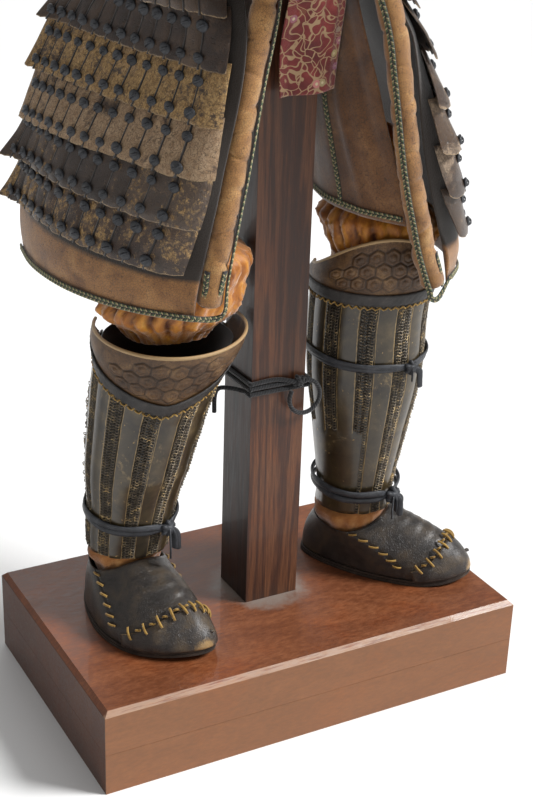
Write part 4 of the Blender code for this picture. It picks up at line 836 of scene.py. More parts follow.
# the post's left face gets painted shade
postWood = woodFinish(
    "postWood", (18.0, 12.0, 0.9), [(0.28, (0.016, 0.005, 0.003)), (0.46, (0.058, 0.019, 0.008)),
                                    (0.60, (0.125, 0.046, 0.018)), (0.80, (0.26, 0.115, 0.048))],
    (0.30, 0.26, 0.24), -0.0348, -0.0356, 0, 34.0, 0.085)[0]
for node, wood in (("base_lower", baseWood), ("base_upper", baseWood), ("post", postWood)):
    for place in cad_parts[node].material_slots:
        place.material = wood

cordBlack = threadFinish("cordBlack", [(0.3, (0.006, 0.006, 0.007)), (0.7, (0.035, 0.036, 0.040))], twist=0.0042)
knotLeather = hideFinish("knotLeather", [(0.3, (0.010, 0.012, 0.016)), (0.6, (0.045, 0.050, 0.060)),
                                         (0.8, (0.12, 0.12, 0.125))],
                         (0.22, 0.20, 0.18), 0.86, 1.0, 60.0, 0.42)
laceDark = threadFinish("laceDark", [(0.3, (0.010, 0.009, 0.010)), (0.7, (0.050, 0.042, 0.038))], 0.75)
mustard = threadFinish("mustardThread", [(0.3, (0.20, 0.105, 0.016)), (0.7, (0.46, 0.28, 0.060))], 0.7)
braidThread = threadFinish("braidThread", [(0.0, (0.020, 0.022, 0.020)), (0.30, (0.075, 0.13, 0.055)),
                                           (0.55, (0.20, 0.20, 0.085)), (0.85, (0.50, 0.41, 0.22))], 0.7, True)
plateLeather = plateFinish()
guardCloth = hideFinish("guardCloth", [(0.3, (0.16, 0.065, 0.020)), (0.55, (0.34, 0.160, 0.050)),
                                       (0.75, (0.48, 0.27, 0.105))],
                        (0.62, 0.45, 0.25), 0.84, 1.02, 24.0, 0.85, 0.5, 0.4, shadedAboveHem=True)
rollSuede = hideFinish("rollSuede", [(0.3, (0.20, 0.085, 0.026)), (0.55, (0.40, 0.195, 0.060)),
                                     (0.75, (0.56, 0.33, 0.125))],
                       (0.70, 0.53, 0.30), 0.80, 0.98, 30.0, 0.85, 0.5, 0.4)
innerSuede = hideFinish("innerSuede", [(0.3, (0.060, 0.023, 0.009)), (0.55, (0.17, 0.075, 0.026)),
                                       (0.78, (0.31, 0.155, 0.060))],
                        (0.38, 0.21, 0.09), 0.84, 1.02, 20.0, 0.9, 0.4, 0.5)
kneeLeather = hideFinish("kneeLeather", [(0.3, (0.038, 0.019, 0.009)), (0.52, (0.125, 0.062, 0.024)),
                                         (0.72, (0.27, 0.150, 0.058))],
                         (0.44, 0.29, 0.14), 0.82, 1.02, 30.0, 0.46, 0.5, tooled=True)
borderLeather = hideFinish("borderLeather",
                           [(0.3, (0.012, 0.012, 0.013)), (0.6, (0.050, 0.046, 0.044)), (0.8, (0.13, 0.11, 0.095))],
                           (0.28, 0.22, 0.15), 0.84, 1.0, 46.0, 0.5)
shoeLeather = hideFinish("shoeLeather", [(0.3, (0.010, 0.009, 0.009)), (0.50, (0.036, 0.030, 0.026)),
                                         (0.70, (0.085, 0.060, 0.036))],
                         (0.25, 0.165, 0.075), 0.78, 1.02, 30.0, 0.36, 0.6)
toeLeather = hideFinish("toeLeather", [(0.3, (0.012, 0.011, 0.011)), (0.50, (0.045, 0.037, 0.032)),
                                       (0.70, (0.11, 0.078, 0.046))],
                        (0.34, 0.215, 0.09), 0.78, 1.0, 36.0, 0.36, 0.6, tooled=True)
soleLeather = hideFinish("soleLeather", [(0.3, (0.014, 0.010, 0.008)), (0.6, (0.060, 0.043, 0.032)),
                                         (0.8, (0.14, 0.10, 0.07))],
                         (0.22, 0.16, 0.11), 0.80, 1.0, 50.0, 0.65, 0.6)
shinLacquer = lacquerFinish("shinLacquer", [(0.3, (0.016, 0.011, 0.006)), (0.55, (0.052, 0.037, 0.017)),
                                            (0.75, (0.115, 0.080, 0.034))],
                            (0.34, 0.235, 0.105), (0.48, 0.30, 0.10), 0.70, backing=(0.010, 0.009, 0.009))
bodyLacquer = lacquerFinish("bodyLacquer", [(0.3, (0.020, 0.013, 0.009)), (0.55, (0.060, 0.042, 0.028)),
                                            (0.75, (0.12, 0.085, 0.052))],
                            (0.30, 0.21, 0.12), (0.42, 0.27, 0.11), 0.80)
helmetIron = metalFinish("helmetIron", [(0.3, (0.055, 0.040, 0.032)), (0.55, (0.15, 0.12, 0.105)),
                                        (0.75, (0.26, 0.22, 0.19))])
mailIron = metalFinish("mailIron", [(0.3, (0.060, 0.052, 0.045)), (0.55, (0.20, 0.165, 0.120)),
                                    (0.70, (0.80, 0.58, 0.28))], 0.36)
trouserSilk, silkTree, silkShader, silkColour = clothFinish(
    "trouserSilk", [(0.28, (0.20, 0.048, 0.008)), (0.46, (0.50, 0.17, 0.014)), (0.64, (0.72, 0.30, 0.025)),
                    (0.82, (0.86, 0.50, 0.10))], 30.0, 0.0007, 0.6, 0.40, 0.25, 0.5, 2.0)
# painted shade: the valleys of the gathers are painted dark brown-red
silkColour = mixOf(silkTree, attributeOf(silkTree, "deep"), silkColour, (0.075, 0.014, 0.004))
silkTree.links.new(silkColour, silkShader.inputs["Base Color"])
silkShader.inputs["Anisotropic"].default_value = 0.5
leggingCloth, legTree, legShader, legColour = clothFinish(
    "leggingCloth", [(0.3, (0.19, 0.062, 0.015)), (0.55, (0.42, 0.17, 0.045)), (0.75, (0.62, 0.33, 0.11))],
    30.0, 0.0010, 0.5, 0.8)
# painted shade: the legging's top, up inside the guards, is painted near black
legTree.links.new(mixOf(legTree, attributeOf(legTree, "deep"), legColour, (0.014, 0.009, 0.007)),
                  legShader.inputs["Base Color"])
beltCloth = clothFinish("beltCloth", [(0.3, (0.20, 0.16, 0.10)), (0.7, (0.42, 0.36, 0.25))], 20.0, 0.0012)[0]
sleeveCloth = clothFinish("sleeveCloth", [(0.3, (0.035, 0.030, 0.026)), (0.7, (0.115, 0.095, 0.070))], 22.0,
                          0.0012)[0]
brocade = brocadeFinish()
print("finishes")


# thigh guards

def thighMap(side):
    table = thighs[side]
    heights = np.linspace(clothLevels[0], clothLevels[-1], 193)
    places = np.interp(heights, [row[0] for row in table], np.linspace(0.0, 1.0, len(table)))
    byZ = smoothAlong(np.array([row[1:] for row in table], float), places)
    return smoothAlong(byZ.transpose(1, 0, 2), np.linspace(0.0, 1.0, 161))


thighMaps = {side: thighMap(side) for side in sides}


def thighAt(side, u, z):
    grid = thighMaps[side]
    a = np.clip(u, 0.0, 1.0) * (grid.shape[0] - 1)
    b = np.clip((z - clothLevels[0]) / (clothLevels[-1] - clothLevels[0]), 0.0, 1.0) * (grid.shape[1] - 1)
    i = np.clip(a.astype(int), 0, grid.shape[0] - 2)
    j = np.clip(b.astype(int), 0, grid.shape[1] - 2)
    f, g = (a - i)[..., None], (b - j)[..., None]
    low = grid[i, j] * (1 - f) + grid[i + 1, j] * f
    high = grid[i, j + 1] * (1 - f) + grid[i + 1, j + 1] * f
    return low * (1 - g) + high * g


def plateColumns(side):
    fine = np.linspace(0.0, 1.0, 201)
    line = thighAt(side, fine, np.full(201, 0.800))
    run = np.concatenate([[0.0], np.cumsum(np.linalg.norm(np.diff(line, axis=0), axis=1))])
    part = np.linspace(0.0, 1.0, plates["count"] + 1)
    part = 0.60 * part + 0.40 * (1 - (1 - part) ** 2)
    ends = [0.0] + list(plates["start"] + (plates["end"] - plates["start"]) * part) + [1.0]
    return np.interp(ends, run / run[-1], fine)


columnPlaces = {side: plateColumns(side) for side in sides}


def overCloth(side, place, line, height, out):
    # a point over the cloth: place counts plate columns, line is a cloth height, height is above that line
    place, height, out = np.broadcast_arrays(np.asarray(place, float), np.asarray(height, float),
                                             np.asarray(out, float))
    u = np.interp(place, np.arange(len(columnPlaces[side])), columnPlaces[side])
    target = line + np.interp(line, clothLevels, levelLift) * u ** 2 + height
    z = target
    for step in range(4):
        z = target - np.interp(z, clothLevels, levelLift) * u ** 2
    here = thighAt(side, u, z)
    along = thighAt(side, u + 0.012, z) - thighAt(side, u - 0.012, z)
    turn = 1.0 if side == "right" else -1.0
    away = np.stack([-along[..., 1] * turn, along[..., 0] * turn], axis=-1)
    away /= np.linalg.norm(away, axis=-1, keepdims=True)
    flat = here + away * out[..., None]
    return np.concatenate([flat, target[..., None]],
                          axis=-1), np.concatenate([away, np.zeros_like(target)[..., None]], axis=-1)


def rowOut(side, level, place, height):
    t = height / plates["tall"]
    end = (place - 1) / plates["count"]
    flare = rowFlare[level] * np.maximum(0.0, (end - 0.72) / 0.28) ** 2
    if side == "left":
        curl = 0.010 * np.maximum(0.0, (0.16 - end) / 0.16) ** 1.5
    else:
        curl = 0.004 * np.maximum(0.0, (0.08 - end) / 0.08)
    corner = 0.0024 * np.maximum(0.0, 1.0 - end / 0.4)
    high = plates["outHigh"] + corner
    return plates["outLow"] + (high - plates["outLow"]) * t + flare * (1 - t) ** 2 + curl * (1 - t)


clothFolds = {
    "right": [(0.05, 0.02, 0.30, 0.10, 9, -1.2), (0.35, 0.10, 0.62, 0.02, 8, -1.0),
              (0.66, 0.03, 0.93, 0.11, 10, -1.3)],
    "left": [(0.04, 0.09, 0.26, 0.03, 8, -1.1), (0.38, 0.03, 0.60, 0.11, 9, -1.2), (0.70, 0.10, 0.96, 0.04, 8, -1.0)],
}


def addThighCloth(side):
    s, t = spread(64, 76)
    z = clothLevels[0] + (clothLevels[-1] - clothLevels[0]) * t
    xy = thighAt(side, s, z)
    lift = np.interp(z, clothLevels, levelLift) * s ** 2
    grid = np.concatenate([xy, (z + lift)[..., None]], axis=-1)
    along = np.gradient(xy, axis=1)
    turn = 1.0 if side == "right" else -1.0
    away = np.stack([-along[..., 1] * turn, along[..., 0] * turn, np.zeros_like(z)], axis=-1)
    away /= np.linalg.norm(away, axis=-1, keepdims=True)
    low = np.clip(1 - (z - clothLevels[0]) / 0.06, 0.0, 1.0)
    relief = creases(s, t, (0.46, 0.48), clothFolds[side]) * low + 0.0006 * waves(grid, 60.0, 3) * low
    bulge = 0.0052 * np.sin(math.pi * np.clip((z - clothLevels[0] - 0.010) / 0.062, 0.0, 1.0)) ** 0.7
    outer = grid + away * (relief + bulge)[..., None]
    inner = grid - away * 0.0026
    # band is 1 on the hem band; above it the finish paints the cloth near black as painted shade
    band = np.clip((0.672 - z) / 0.004, 0.0, 1.0).ravel()
    shape = wallShape(outer, inner, pinch=0.5)
    piece = addPiece("thighCloth_" + side, shape, guardCloth, ["thigh_cloth_" + side],
                     marks={"band": [*band, *(band * 0.3)]})


def addRows(side):
    knotPlaces = []
    laces = []
    for level, letter in enumerate("abcdef", start=1):
        line = clothLevels[level]
        gold, pale, grey = rowLooks[side][letter]
        shapes = []
        marks = {"tone": [], "gold": [], "pale": [], "grey": [], "edge": []}
        ends = overCloth(side, np.arange(1, plates["count"] + 2), line, 0.02, 0.0)[0]
        spans = np.linalg.norm(np.diff(ends, axis=0), axis=1)
        for k in range(plates["count"]):
            span = float(spans[k])
            s, t = spread(10, 13)
            chance = random.random()
            slit = plates["slit"] / span / 2
            place = 1.0 + k + slit + (1 - 2 * slit) * s
            wide, tall = span * (1 - 2 * slit), plates["tall"]
            sag = 0.0014 * (random.random() - 0.5)
            scallop = (0.0050 if side == "left" else 0.0012) * np.abs(2 * s - 1) ** 3.2
            ragged = 0.0006 * waves(np.stack([s * wide, s * 0 + k, s * 0 + level], axis=-1), 900.0, 5)
            height = sag + scallop * (1 - t) ** 3 + ragged * (1 - t) ** 4 + (tall - sag) * t
            edgeAway = np.minimum(np.minimum(s, 1 - s) * wide, np.minimum(t, 1 - t) * tall)
            tilt = 0.0008 * (random.random() - 0.5)
            dents = 0.00045 * waves(np.stack([s * wide, t * tall, s * 0 + k * 3.1 + level], axis=-1), 150.0, 8)
            dome = 0.0010 * (1 - (2 * s - 1) ** 2) + dents + tilt - 0.0010 * np.exp(-(edgeAway / 0.0011) ** 2)
            base = rowOut(side, level, place, height)
            outer = overCloth(side, place, line, height, base + dome)[0]
            inner = overCloth(side, place, line, height, base - plates["wall"] + 0.4 * dents)[0]
            shapes.append(wallShape(outer, inner, pinch=0.25))
            bottom = np.exp(-(t * tall / 0.0035) ** 2)
            sideEdge = np.exp(-(np.minimum(s, 1 - s) * wide / 0.0012) ** 2)
            for label, value in (("tone", chance), ("gold", gold + 0.3 * (chance - 0.5)),
                                 ("pale", pale + 0.16 * (chance - 0.5)),
                                 ("grey", grey), ("edge", np.maximum(bottom, 0.7 * sideEdge))):
                flatValue = np.broadcast_to(value, s.shape).ravel()
                marks[label] += [*flatValue, *flatValue]
        addPiece("plates_%s_%s" % (side, letter), joinShapes(shapes), plateLeather,
                 ["plates_%s_%s" % (side, letter)], sharp=50, marks=marks)
        for k in range(1, plates["count"]):
            heights = np.array([-0.001, 0.010, 0.030, 0.050, 0.0712])
            path, away = overCloth(side, np.full(5, 1.0 + k), line, heights,
                                   rowOut(side, level, 1.0 + k, heights) - 0.0014)
            laces.append(tubeShape(path, 0.0021, 6, facing=away, flat=0.45))
            if letter == "f":
                continue
            for high in knots["heights"]:
                out = rowOut(side, level, 1.0 + k, high) + 0.0012
                point, normal = overCloth(side, [1.0 + k], line, [high], [out])
                ahead = overCloth(side, [1.0 + k + 0.1], line, [high], [out])[0] - point
                lean = Vector((0.0, 0.0, 0.30 * (random.random() - 0.5)))
                knotPlaces.append((point[0], normal[0], Vector(ahead[0]).normalized() + lean,
                                   (knots["half"] * 1.12, knots["half"] * 1.12, knots["half"] * 0.85),
                                   random.random()))
    addPiece("plateLaces_" + side, joinShapes(laces), laceDark)
    repeatPiece("plateKnots_" + side, "knot", knotPlaces, knotLeather)


def rollPath(side, count, low=0.0):
    table = rolls[side]
    z = np.linspace(table[0][0] + low, table[-1][0], count)
    return np.column_stack([atHeight(table, z), z])


rollWrinkles = {"right": (0.09, 0.15, 0.24, 0.30, 0.37, 0.46, 0.52, 0.61, 0.69, 0.78, 0.88),
                "left": (0.07, 0.14, 0.20, 0.29, 0.36, 0.45, 0.54, 0.60, 0.70, 0.80, 0.90)}


def addRoll(side):
    count, around = 190, 36
    line = rollPath(side, count)
    ahead = np.gradient(line, axis=0)
    ahead /= np.linalg.norm(ahead, axis=1, keepdims=True)
    side0 = np.array([1.0, 0.0, 0.0])
    points = []
    for k in range(count):
        v = k / (count - 1)
        across = side0 - (side0 @ ahead[k]) * ahead[k]
        across /= np.linalg.norm(across)
        other = np.cross(ahead[k], across)
        a = 2 * math.pi * np.arange(around) / around
        close = 1 - 0.9 * max(0.0, 1 - v / 0.025) ** 3 - 0.9 * max(0.0, 1 - (1 - v) / 0.025) ** 3
        dip = np.zeros(around)
        for n, centre in enumerate(rollWrinkles[side]):
            lean = 0.016 * math.sin(3.7 * n + 1.0)
            wide = 0.0052 + 0.0030 * ((n * 5) % 3) / 2
            deep = 0.0019 + 0.0009 * ((n * 7) % 4) / 3
            ridge = np.exp(-((v - centre - lean * np.sin(a + n)) / wide) ** 2)
            dip += deep * ridge * (0.65 + 0.35 * np.cos(a * 2 + n * 2.1))
        puff = 0.0005 * np.sin(2 * math.pi * v * 11 + 0.8 * np.sin(a))
        r = (rollRadius * close - dip + puff)
        points += list(line[k] + r[:, None] * (np.cos(a)[:, None] * across + np.sin(a)[:, None] * other))
    faces = []
    corners = []
    for k in range(count - 1):
        for i in range(around):
            j = (i + 1) % around
            faces.append((k * around + i, k * around + j, (k + 1) * around + j, (k + 1) * around + i))
            corners += [(i * 0.0028, k * 0.0022), ((i + 1) * 0.0028, k * 0.0022),
                        ((i + 1) * 0.0028, (k + 1) * 0.0022),
                        (i * 0.0028, (k + 1) * 0.0022)]
    for ring, flip in ((range(around), True), (range((count - 1) * around, count * around), False)):
        faces.append(tuple(reversed(ring)) if flip else tuple(ring))
        corners += [(0.0, 0.0)] * around
    piece = addPiece("thighRoll_" + side, (points, faces, corners), rollSuede, ["thigh_roll_" + side])


def braidPath(side):
    table = rolls[side]
    toward = 1.0 if side == "right" else -1.0
    reach = rollRadius + braid["halfThick"] + 0.0008
    path, normal = [], []
    for z in np.linspace(table[0][0], table[-1][0], 14)[-2:0:-1]:
        x, y = atHeight(table, np.array([z]))[0]
        n = np.array([toward * 0.80, -0.60, 0.0])
        axis = np.array([*(atHeight(table, np.array([z + 0.01]))[0] - atHeight(table, np.array([z - 0.01]))[0]),
                         0.02])
        axis /= np.linalg.norm(axis)
        n -= (n @ axis) * axis
        n /= np.linalg.norm(n)
        path.append(np.array([x, y, z]) + n * reach)
        normal.append(n)
    x, y = table[0][1:]
    bottom = table[0][0] - braid["halfWidth"] - 0.0085
    for inward, ahead, up in ((0.0156, 0.0152, 0.0127), (0.0105, 0.012, 0.002), (-0.003, 0.010, 0.0)):
        path.append(np.array([x + toward * inward, y - ahead, bottom + up]))
        normal.append(np.array([toward * inward * 40, -0.9, 0.0]))
    for place in range(plates["count"] + 3):
        point, n = overCloth(side, [place], clothLevels[0], [0.0065], [braid["halfThick"] + 0.0015])
        path.append(point[0])
        normal.append(n[0])
    return np.array(path), np.array(normal)


def vBraidPath(side, across, ahead):
    # one line of the V, from the hem's corner up one side of the roll
    line = rollPath(side, 60, 0.004)[0:8]
    normal = np.array([across, ahead, 0.0])
    reach = (rollRadius + 0.0012) * np.linspace(0.75, 1.0, 8)[:, None]
    return line + normal * reach, np.tile(normal, (8, 1))


def threadsOn(path, normal, step=0.0024):
    path, normal = np.array(path), np.array(normal)
    run = np.concatenate([[0.0], np.cumsum(np.linalg.norm(np.diff(path, axis=0), axis=1))])
    count = int(run[-1] / step)
    places = []
    for k in range(1, count):
        at = k * step
        point = np.array([np.interp(at, run, path[:, c]) for c in range(3)])
        n = np.array([np.interp(at, run, normal[:, c]) for c in range(3)])
        n /= np.linalg.norm(n)
        ahead = np.array([np.interp(min(at + 0.002, run[-1]), run, path[:, c]) for c in range(3)]) - point
        ahead /= max(np.linalg.norm(ahead), 1e-9)
        across = np.cross(n, ahead)
        for way in (-1, 1):
            lean = ahead * 0.62 + across * 0.78 * way
            tone = (0.9, 0.55, 0.2, 0.9, 0.3, 0.05)[(k + (2 if way > 0 else 0)) % 6]
            places.append((point + across * 0.0021 * way + n * 0.0011, n, lean, (0.0052, 0.0021, 0.0024), tone))
    return places


def bandOn(path, normal, halfWidth, halfThick):
    # a flat band that follows a smooth line, its flat side along the normals
    count = 6 * len(path)
    line = catmull(path, count)
    facing = catmull(normal, count)
    return tubeShape(line, halfWidth, 10, flat=halfThick / halfWidth, facing=facing), line, facing


def addBraid(side):
    shapes, threads = [], []
    vLines = {"right": ((-0.85, -0.52), (0.34, -0.94)), "left": ((0.72, -0.69),)}[side]
    for path, normal in (braidPath(side), *[vBraidPath(side, *line) for line in vLines]):
        shape, line, facing = bandOn(path, normal, braid["halfWidth"], braid["halfThick"])
        shapes.append(shape)
        threads += threadsOn(line, facing)
    addPiece("thighBraid_" + side, joinShapes(shapes), laceDark, ["thigh_braid_" + side])
    repeatPiece("braidThreads_" + side, "bead", threads, braidThread, {"Size spread": 0.04})


innerFolds = {
    "right": [(0.12, 0.02, 0.18, 0.75, 10, -3.2), (0.30, 0.10, 0.26, 0.95, 13, 2.6),
              (0.46, 0.00, 0.52, 0.70, 12, -3.6),
              (0.70, 0.12, 0.64, 0.98, 14, 2.4), (0.86, 0.02, 0.90, 0.60, 11, -2.8)],
    "left": [(0.10, 0.05, 0.16, 0.90, 11, 2.8), (0.24, 0.00, 0.30, 0.62, 9, -3.4), (0.42, 0.15, 0.38, 0.98, 13, -2.4),
             (0.60, 0.02, 0.66, 0.80, 12, 3.0), (0.82, 0.05, 0.78, 0.92, 12, -3.2)],
}


def addInnerPanel(side):
    table = inners[side]
    s, t = spread(56, 70)
    z = table[0][0] + (table[-1][0] - table[0][0]) * t
    byZ = smoothAlong(np.array([row[1:] for row in table], float),
                      np.interp(z[:, 0], [row[0] for row in table], np.linspace(0.0, 1.0, len(table))))
    xy = smoothAlong(byZ.transpose(1, 0, 2), s[0]).transpose(1, 0, 2)
    grid = np.concatenate([xy, (z + 0.012 * s ** 2 * (1 - t))[..., None]], axis=-1)
    n = normalsOf(grid) * (1.0 if side == "left" else -1.0)
    hold = np.sin(math.pi * np.clip(t * 1.1 + 0.02, 0.0, 1.0)) ** 0.35 * np.clip(s / 0.08, 0.0, 1.0)
    relief = creases(s, t, (0.31, 0.34), innerFolds[side]) * hold + 0.0005 * waves(grid, 70.0, 9) * hold
    middle = grid - n * 0.0013 + n * relief[..., None]
    n = normalsOf(middle) * (1.0 if side == "left" else -1.0)
    outer, inner = middle + n * 0.0013, middle - n * 0.0013
    piece = addPiece("innerPanel_" + side, wallShape(outer, inner, pinch=0.5), innerSuede,
                     ["thigh_inner_" + side])
    # its braid: along the lower edge on both faces' side that shows, and up one seam
    shapes, threads = [], []
    away = -n if side == "left" else n
    face = inner if side == "left" else outer
    for rows, columns in ((2, slice(1, 55, 3)), (slice(2, 67, 4), 21)):
        path = (face + away * 0.0016)[rows, columns]
        shape, line, facing = bandOn(path, away[rows, columns], 0.0036, 0.0012)
        shapes.append(shape)
        threads += threadsOn(line, facing)
    addPiece("innerBraid_" + side, joinShapes(shapes), laceDark)
    repeatPiece("innerThreads_" + side, "bead", threads, braidThread, {"Size spread": 0.04})


trouserFolds = {
    "right": [(0.92, 0.10, 0.99, 0.55, 9, -3.5), (0.08, 0.12, 0.03, 0.60, 8, -3.0),
              (0.16, 0.08, 0.19, 0.50, 10, -3.4),
              (0.84, 0.14, 0.80, 0.62, 9, -3.2), (0.30, 0.10, 0.34, 0.55, 11, -3.0),
              (0.52, 0.08, 0.48, 0.52, 10, -3.2),
              (0.66, 0.12, 0.70, 0.58, 9, -3.0)],
    "left": [(0.95, 0.06, 0.02, 0.56, 9, -3.4), (0.12, 0.10, 0.08, 0.50, 8, -3.0), (0.22, 0.06, 0.27, 0.60, 10, -3.3),
             (0.80, 0.12, 0.86, 0.55, 9, -3.3), (0.38, 0.08, 0.42, 0.52, 10, -2.8), (0.56, 0.10, 0.52, 0.56, 9, -3.0),
             (0.68, 0.06, 0.72, 0.50, 10, -3.2)],
}


def addTrouser(side):
    u, t = turns(168, 50)
    rows = np.array(trousers[side], float)
    t = t ** 1.25
    values = smoothAlong(rows, t)
    z, x, y, rs, rf, gather = (values[..., k] for k in range(6))
    a = 2 * math.pi * u
    # uneven gathers, sharp in the dips
    wander = 0.30 * np.sin(2 * a + 1.0) + 0.16 * np.sin(5 * a + 2.2) + 0.5 * np.sin(math.pi * t + a)
    first = 1 - 2 * np.abs(np.sin(9.5 * a + 2.0 * wander)) ** 0.7
    second = 1 - 2 * np.abs(np.sin(16.0 * a - 3.0 * wander + 1.0)) ** 0.8
    fine = -0.5 * gather * (0.72 * first + 0.38 * second)
    round3 = np.stack([np.cos(a), np.sin(a), t * 3], axis=-1)
    lump = waves(round3, 6.0, 12) * np.clip(gather / 0.009, 0.0, 1.0)
    fine = fine + 0.0016 * (1 - 2 * np.abs(np.sin(2.2 * waves(round3, 5.0,
                                                              14) * 3 + 9 * t)) ** 0.6) * np.clip(gather / 0.009,
                                                                      0.0, 1.0)
    relief = fine * 1.15 + creases(u, t, (0.50, 0.30), trouserFolds[side], True) + 0.0026 * lump
    # deep marks the valleys of the gathers, where the finish paints shade
    deep = np.clip((0.0004 - relief) / 0.0065, 0.0, 1.0).ravel()
    sag = -0.006 * (0.5 - 0.5 * np.cos(2 * a)) * np.clip(1 - t / 0.35, 0.0, 1.0)
    outer = onRing(x, y, rs + relief, rf + relief, np.degrees(a), 0.0, z + sag)
    inner = onRing(x, y, rs + relief - 0.0016, rf + relief - 0.0016, np.degrees(a), 0.0, z + sag)
    piece = addPiece("trouser_" + side, wallShape(outer, inner, True, pinch=0.5), trouserSilk,
                     ["trouser_" + side],
                     marks={"deep": [*deep, *deep]})


def addSash():
    table = [(0.868, -0.020, 0.060, -0.062), (0.930, -0.024, 0.062, -0.066), (1.000, -0.024, 0.056, -0.086),
             (1.060, -0.020, 0.042, -0.1036), (1.112, -0.018, 0.038, -0.1032)]
    s, t = spread(50, 66)
    z = 0.868 + 0.244 * t
    row = atHeight(table, z)
    k = np.interp(z, [r[0] for r in table], np.arange(5))
    fold = 0.006 * np.sin(2.2 * math.pi * s + 0.5) * (1 - 0.22 * k)
    grid = np.stack([row[..., 0] + (row[..., 1] - row[..., 0]) * s, row[..., 2] + fold,
                     z + 0.006 * s * np.clip(1 - k, 0.0, 1.0)], axis=-1)
    folds = [(0.18, 0.0, 0.22, 0.8, 4.5, -1.8), (0.42, 0.0, 0.40, 0.9, 5.5, 1.6), (0.66, 0.05, 0.62, 0.85, 4.5, -2.0),
             (0.84, 0.0, 0.80, 0.7, 4.5, 1.4)]
    n = normalsOf(grid)
    relief = creases(s, t, (0.08, 0.25), folds)
    outer = grid + n * relief[..., None]
    inner = outer - normalsOf(outer) * 0.0020
    piece = addPiece("sashEnd", wallShape(outer, inner, pinch=0.5), brocade, ["sash_end"])


for side in sides:
    addThighCloth(side)
    addRows(side)
    addRoll(side)
    addBraid(side)
    addInnerPanel(side)
    addTrouser(side)
addSash()
print("thigh guards, trousers and sash")


# lower legs

def legRing(side, angle, z, out, yaw):
    row = atHeight(legs[side], np.asarray(z, float))
    radius = row[..., 2] + out
    return onRing(row[..., 0], row[..., 1], radius, radius, angle, yaw, z)


def kneeLow(side, angle):
    front, beside = knees[side][1:3]
    return front + (beside - front) * np.minimum(1.0, np.abs(angle) / shin["spread"]) ** 1.25


def kneeRim(side, angle):
    front, beside = knees[side][3:5]
    return front + (beside - front) * np.sin(np.minimum(1.0, np.abs(angle) / shin["spread"]) * math.pi / 2) ** 2


def kneePoint(side, angle, v, out):
    angle, v, out = np.broadcast_arrays(np.asarray(angle, float), np.asarray(v, float), np.asarray(out, float))
    low, rim = kneeLow(side, angle), kneeRim(side, angle)
    z = low + (rim - low) * v
    row = atHeight(legs[side], z)
    atLow = atHeight(legs[side], low)[..., 2] + 0.0028
    flare = atLow + (knees[side][5] - atLow) * (v if side == "right" else v * (2 - v))
    r = flare + 0.0045 * np.sin(math.pi * v) + out
    return onRing(row[..., 0], row[..., 1], r, r, angle, knees[side][0], z)


def hexCells(arc, up):
    # how far inside the nearest hexagon of the field, 1 on its edge
    nearest = np.full(arc.shape, 9.0)
    for row, count in hexes["rows"]:
        for k in range(count):
            dx = np.abs(arc - hexes["width"] * (k - (count - 1) / 2))
            dy = np.abs(up / hexes["shrink"] - hexes["width"] * 0.866 * row)
            nearest = np.minimum(nearest, np.maximum(dx, 0.5 * dx + 0.866 * dy) / (hexes["width"] / 2))
    return nearest


def addKneeGuard(side):
    s, t = spread(216, 60)
    angle = (2 * s - 1) * shin["spread"]
    arc = np.radians(angle) * hexes["arcRadius"]
    up = (t - 0.5) * hexes["tall"]
    m = hexCells(arc, up)
    inside = np.clip((0.97 - m) / 0.16, 0.0, 1.0)
    inside = inside * inside * (3 - 2 * inside)
    # the hex grooves: dented in the relief, and painted dark by the finish as painted shade
    grooveShade = np.exp(-((m - 1.0) / 0.10) ** 2) * (m < 1.25)
    relief = 0.0016 * inside - 0.0009 * np.exp(-((m - 0.50) / 0.10) ** 2) + 0.0012 * np.clip(1 - (m / 0.40) ** 2,
            0.0, 1.0)
    relief = relief - 0.0006 * grooveShade
    rows = kneePoint(side, angle, t, 0.0)
    relief = relief + 0.0006 * waves(rows, 90.0, 21) + 0.0010 * waves(rows, 28.0, 22) * (t > 0.05)
    outer = kneePoint(side, angle, t, relief)
    inner = kneePoint(side, angle, t, -shin["wall"] + 0.0006 * waves(rows, 28.0, 22))
    body = wallShape(outer, inner, pinch=0.3)
    lineAngle = np.linspace(-shin["spread"], shin["spread"], 150)
    bead = tubeShape(kneePoint(side, lineAngle, 0.992, -0.0013), 0.0024, 10)
    count = outer.shape[0] * outer.shape[1]
    rimWear = np.clip((t - 0.90) / 0.10, 0.0, 1.0).ravel()
    marks = {"grooveShade": [*grooveShade.ravel(), *np.zeros(count), *np.zeros(len(bead[0]))],
             "edge": [*rimWear * 0.7, *rimWear * 0.7, *(0.8 * np.ones(len(bead[0])))]}
    addPiece("kneeGuard_" + side, joinShapes([body, bead]), kneeLeather, ["knee_guard_" + side],
             marks=marks)


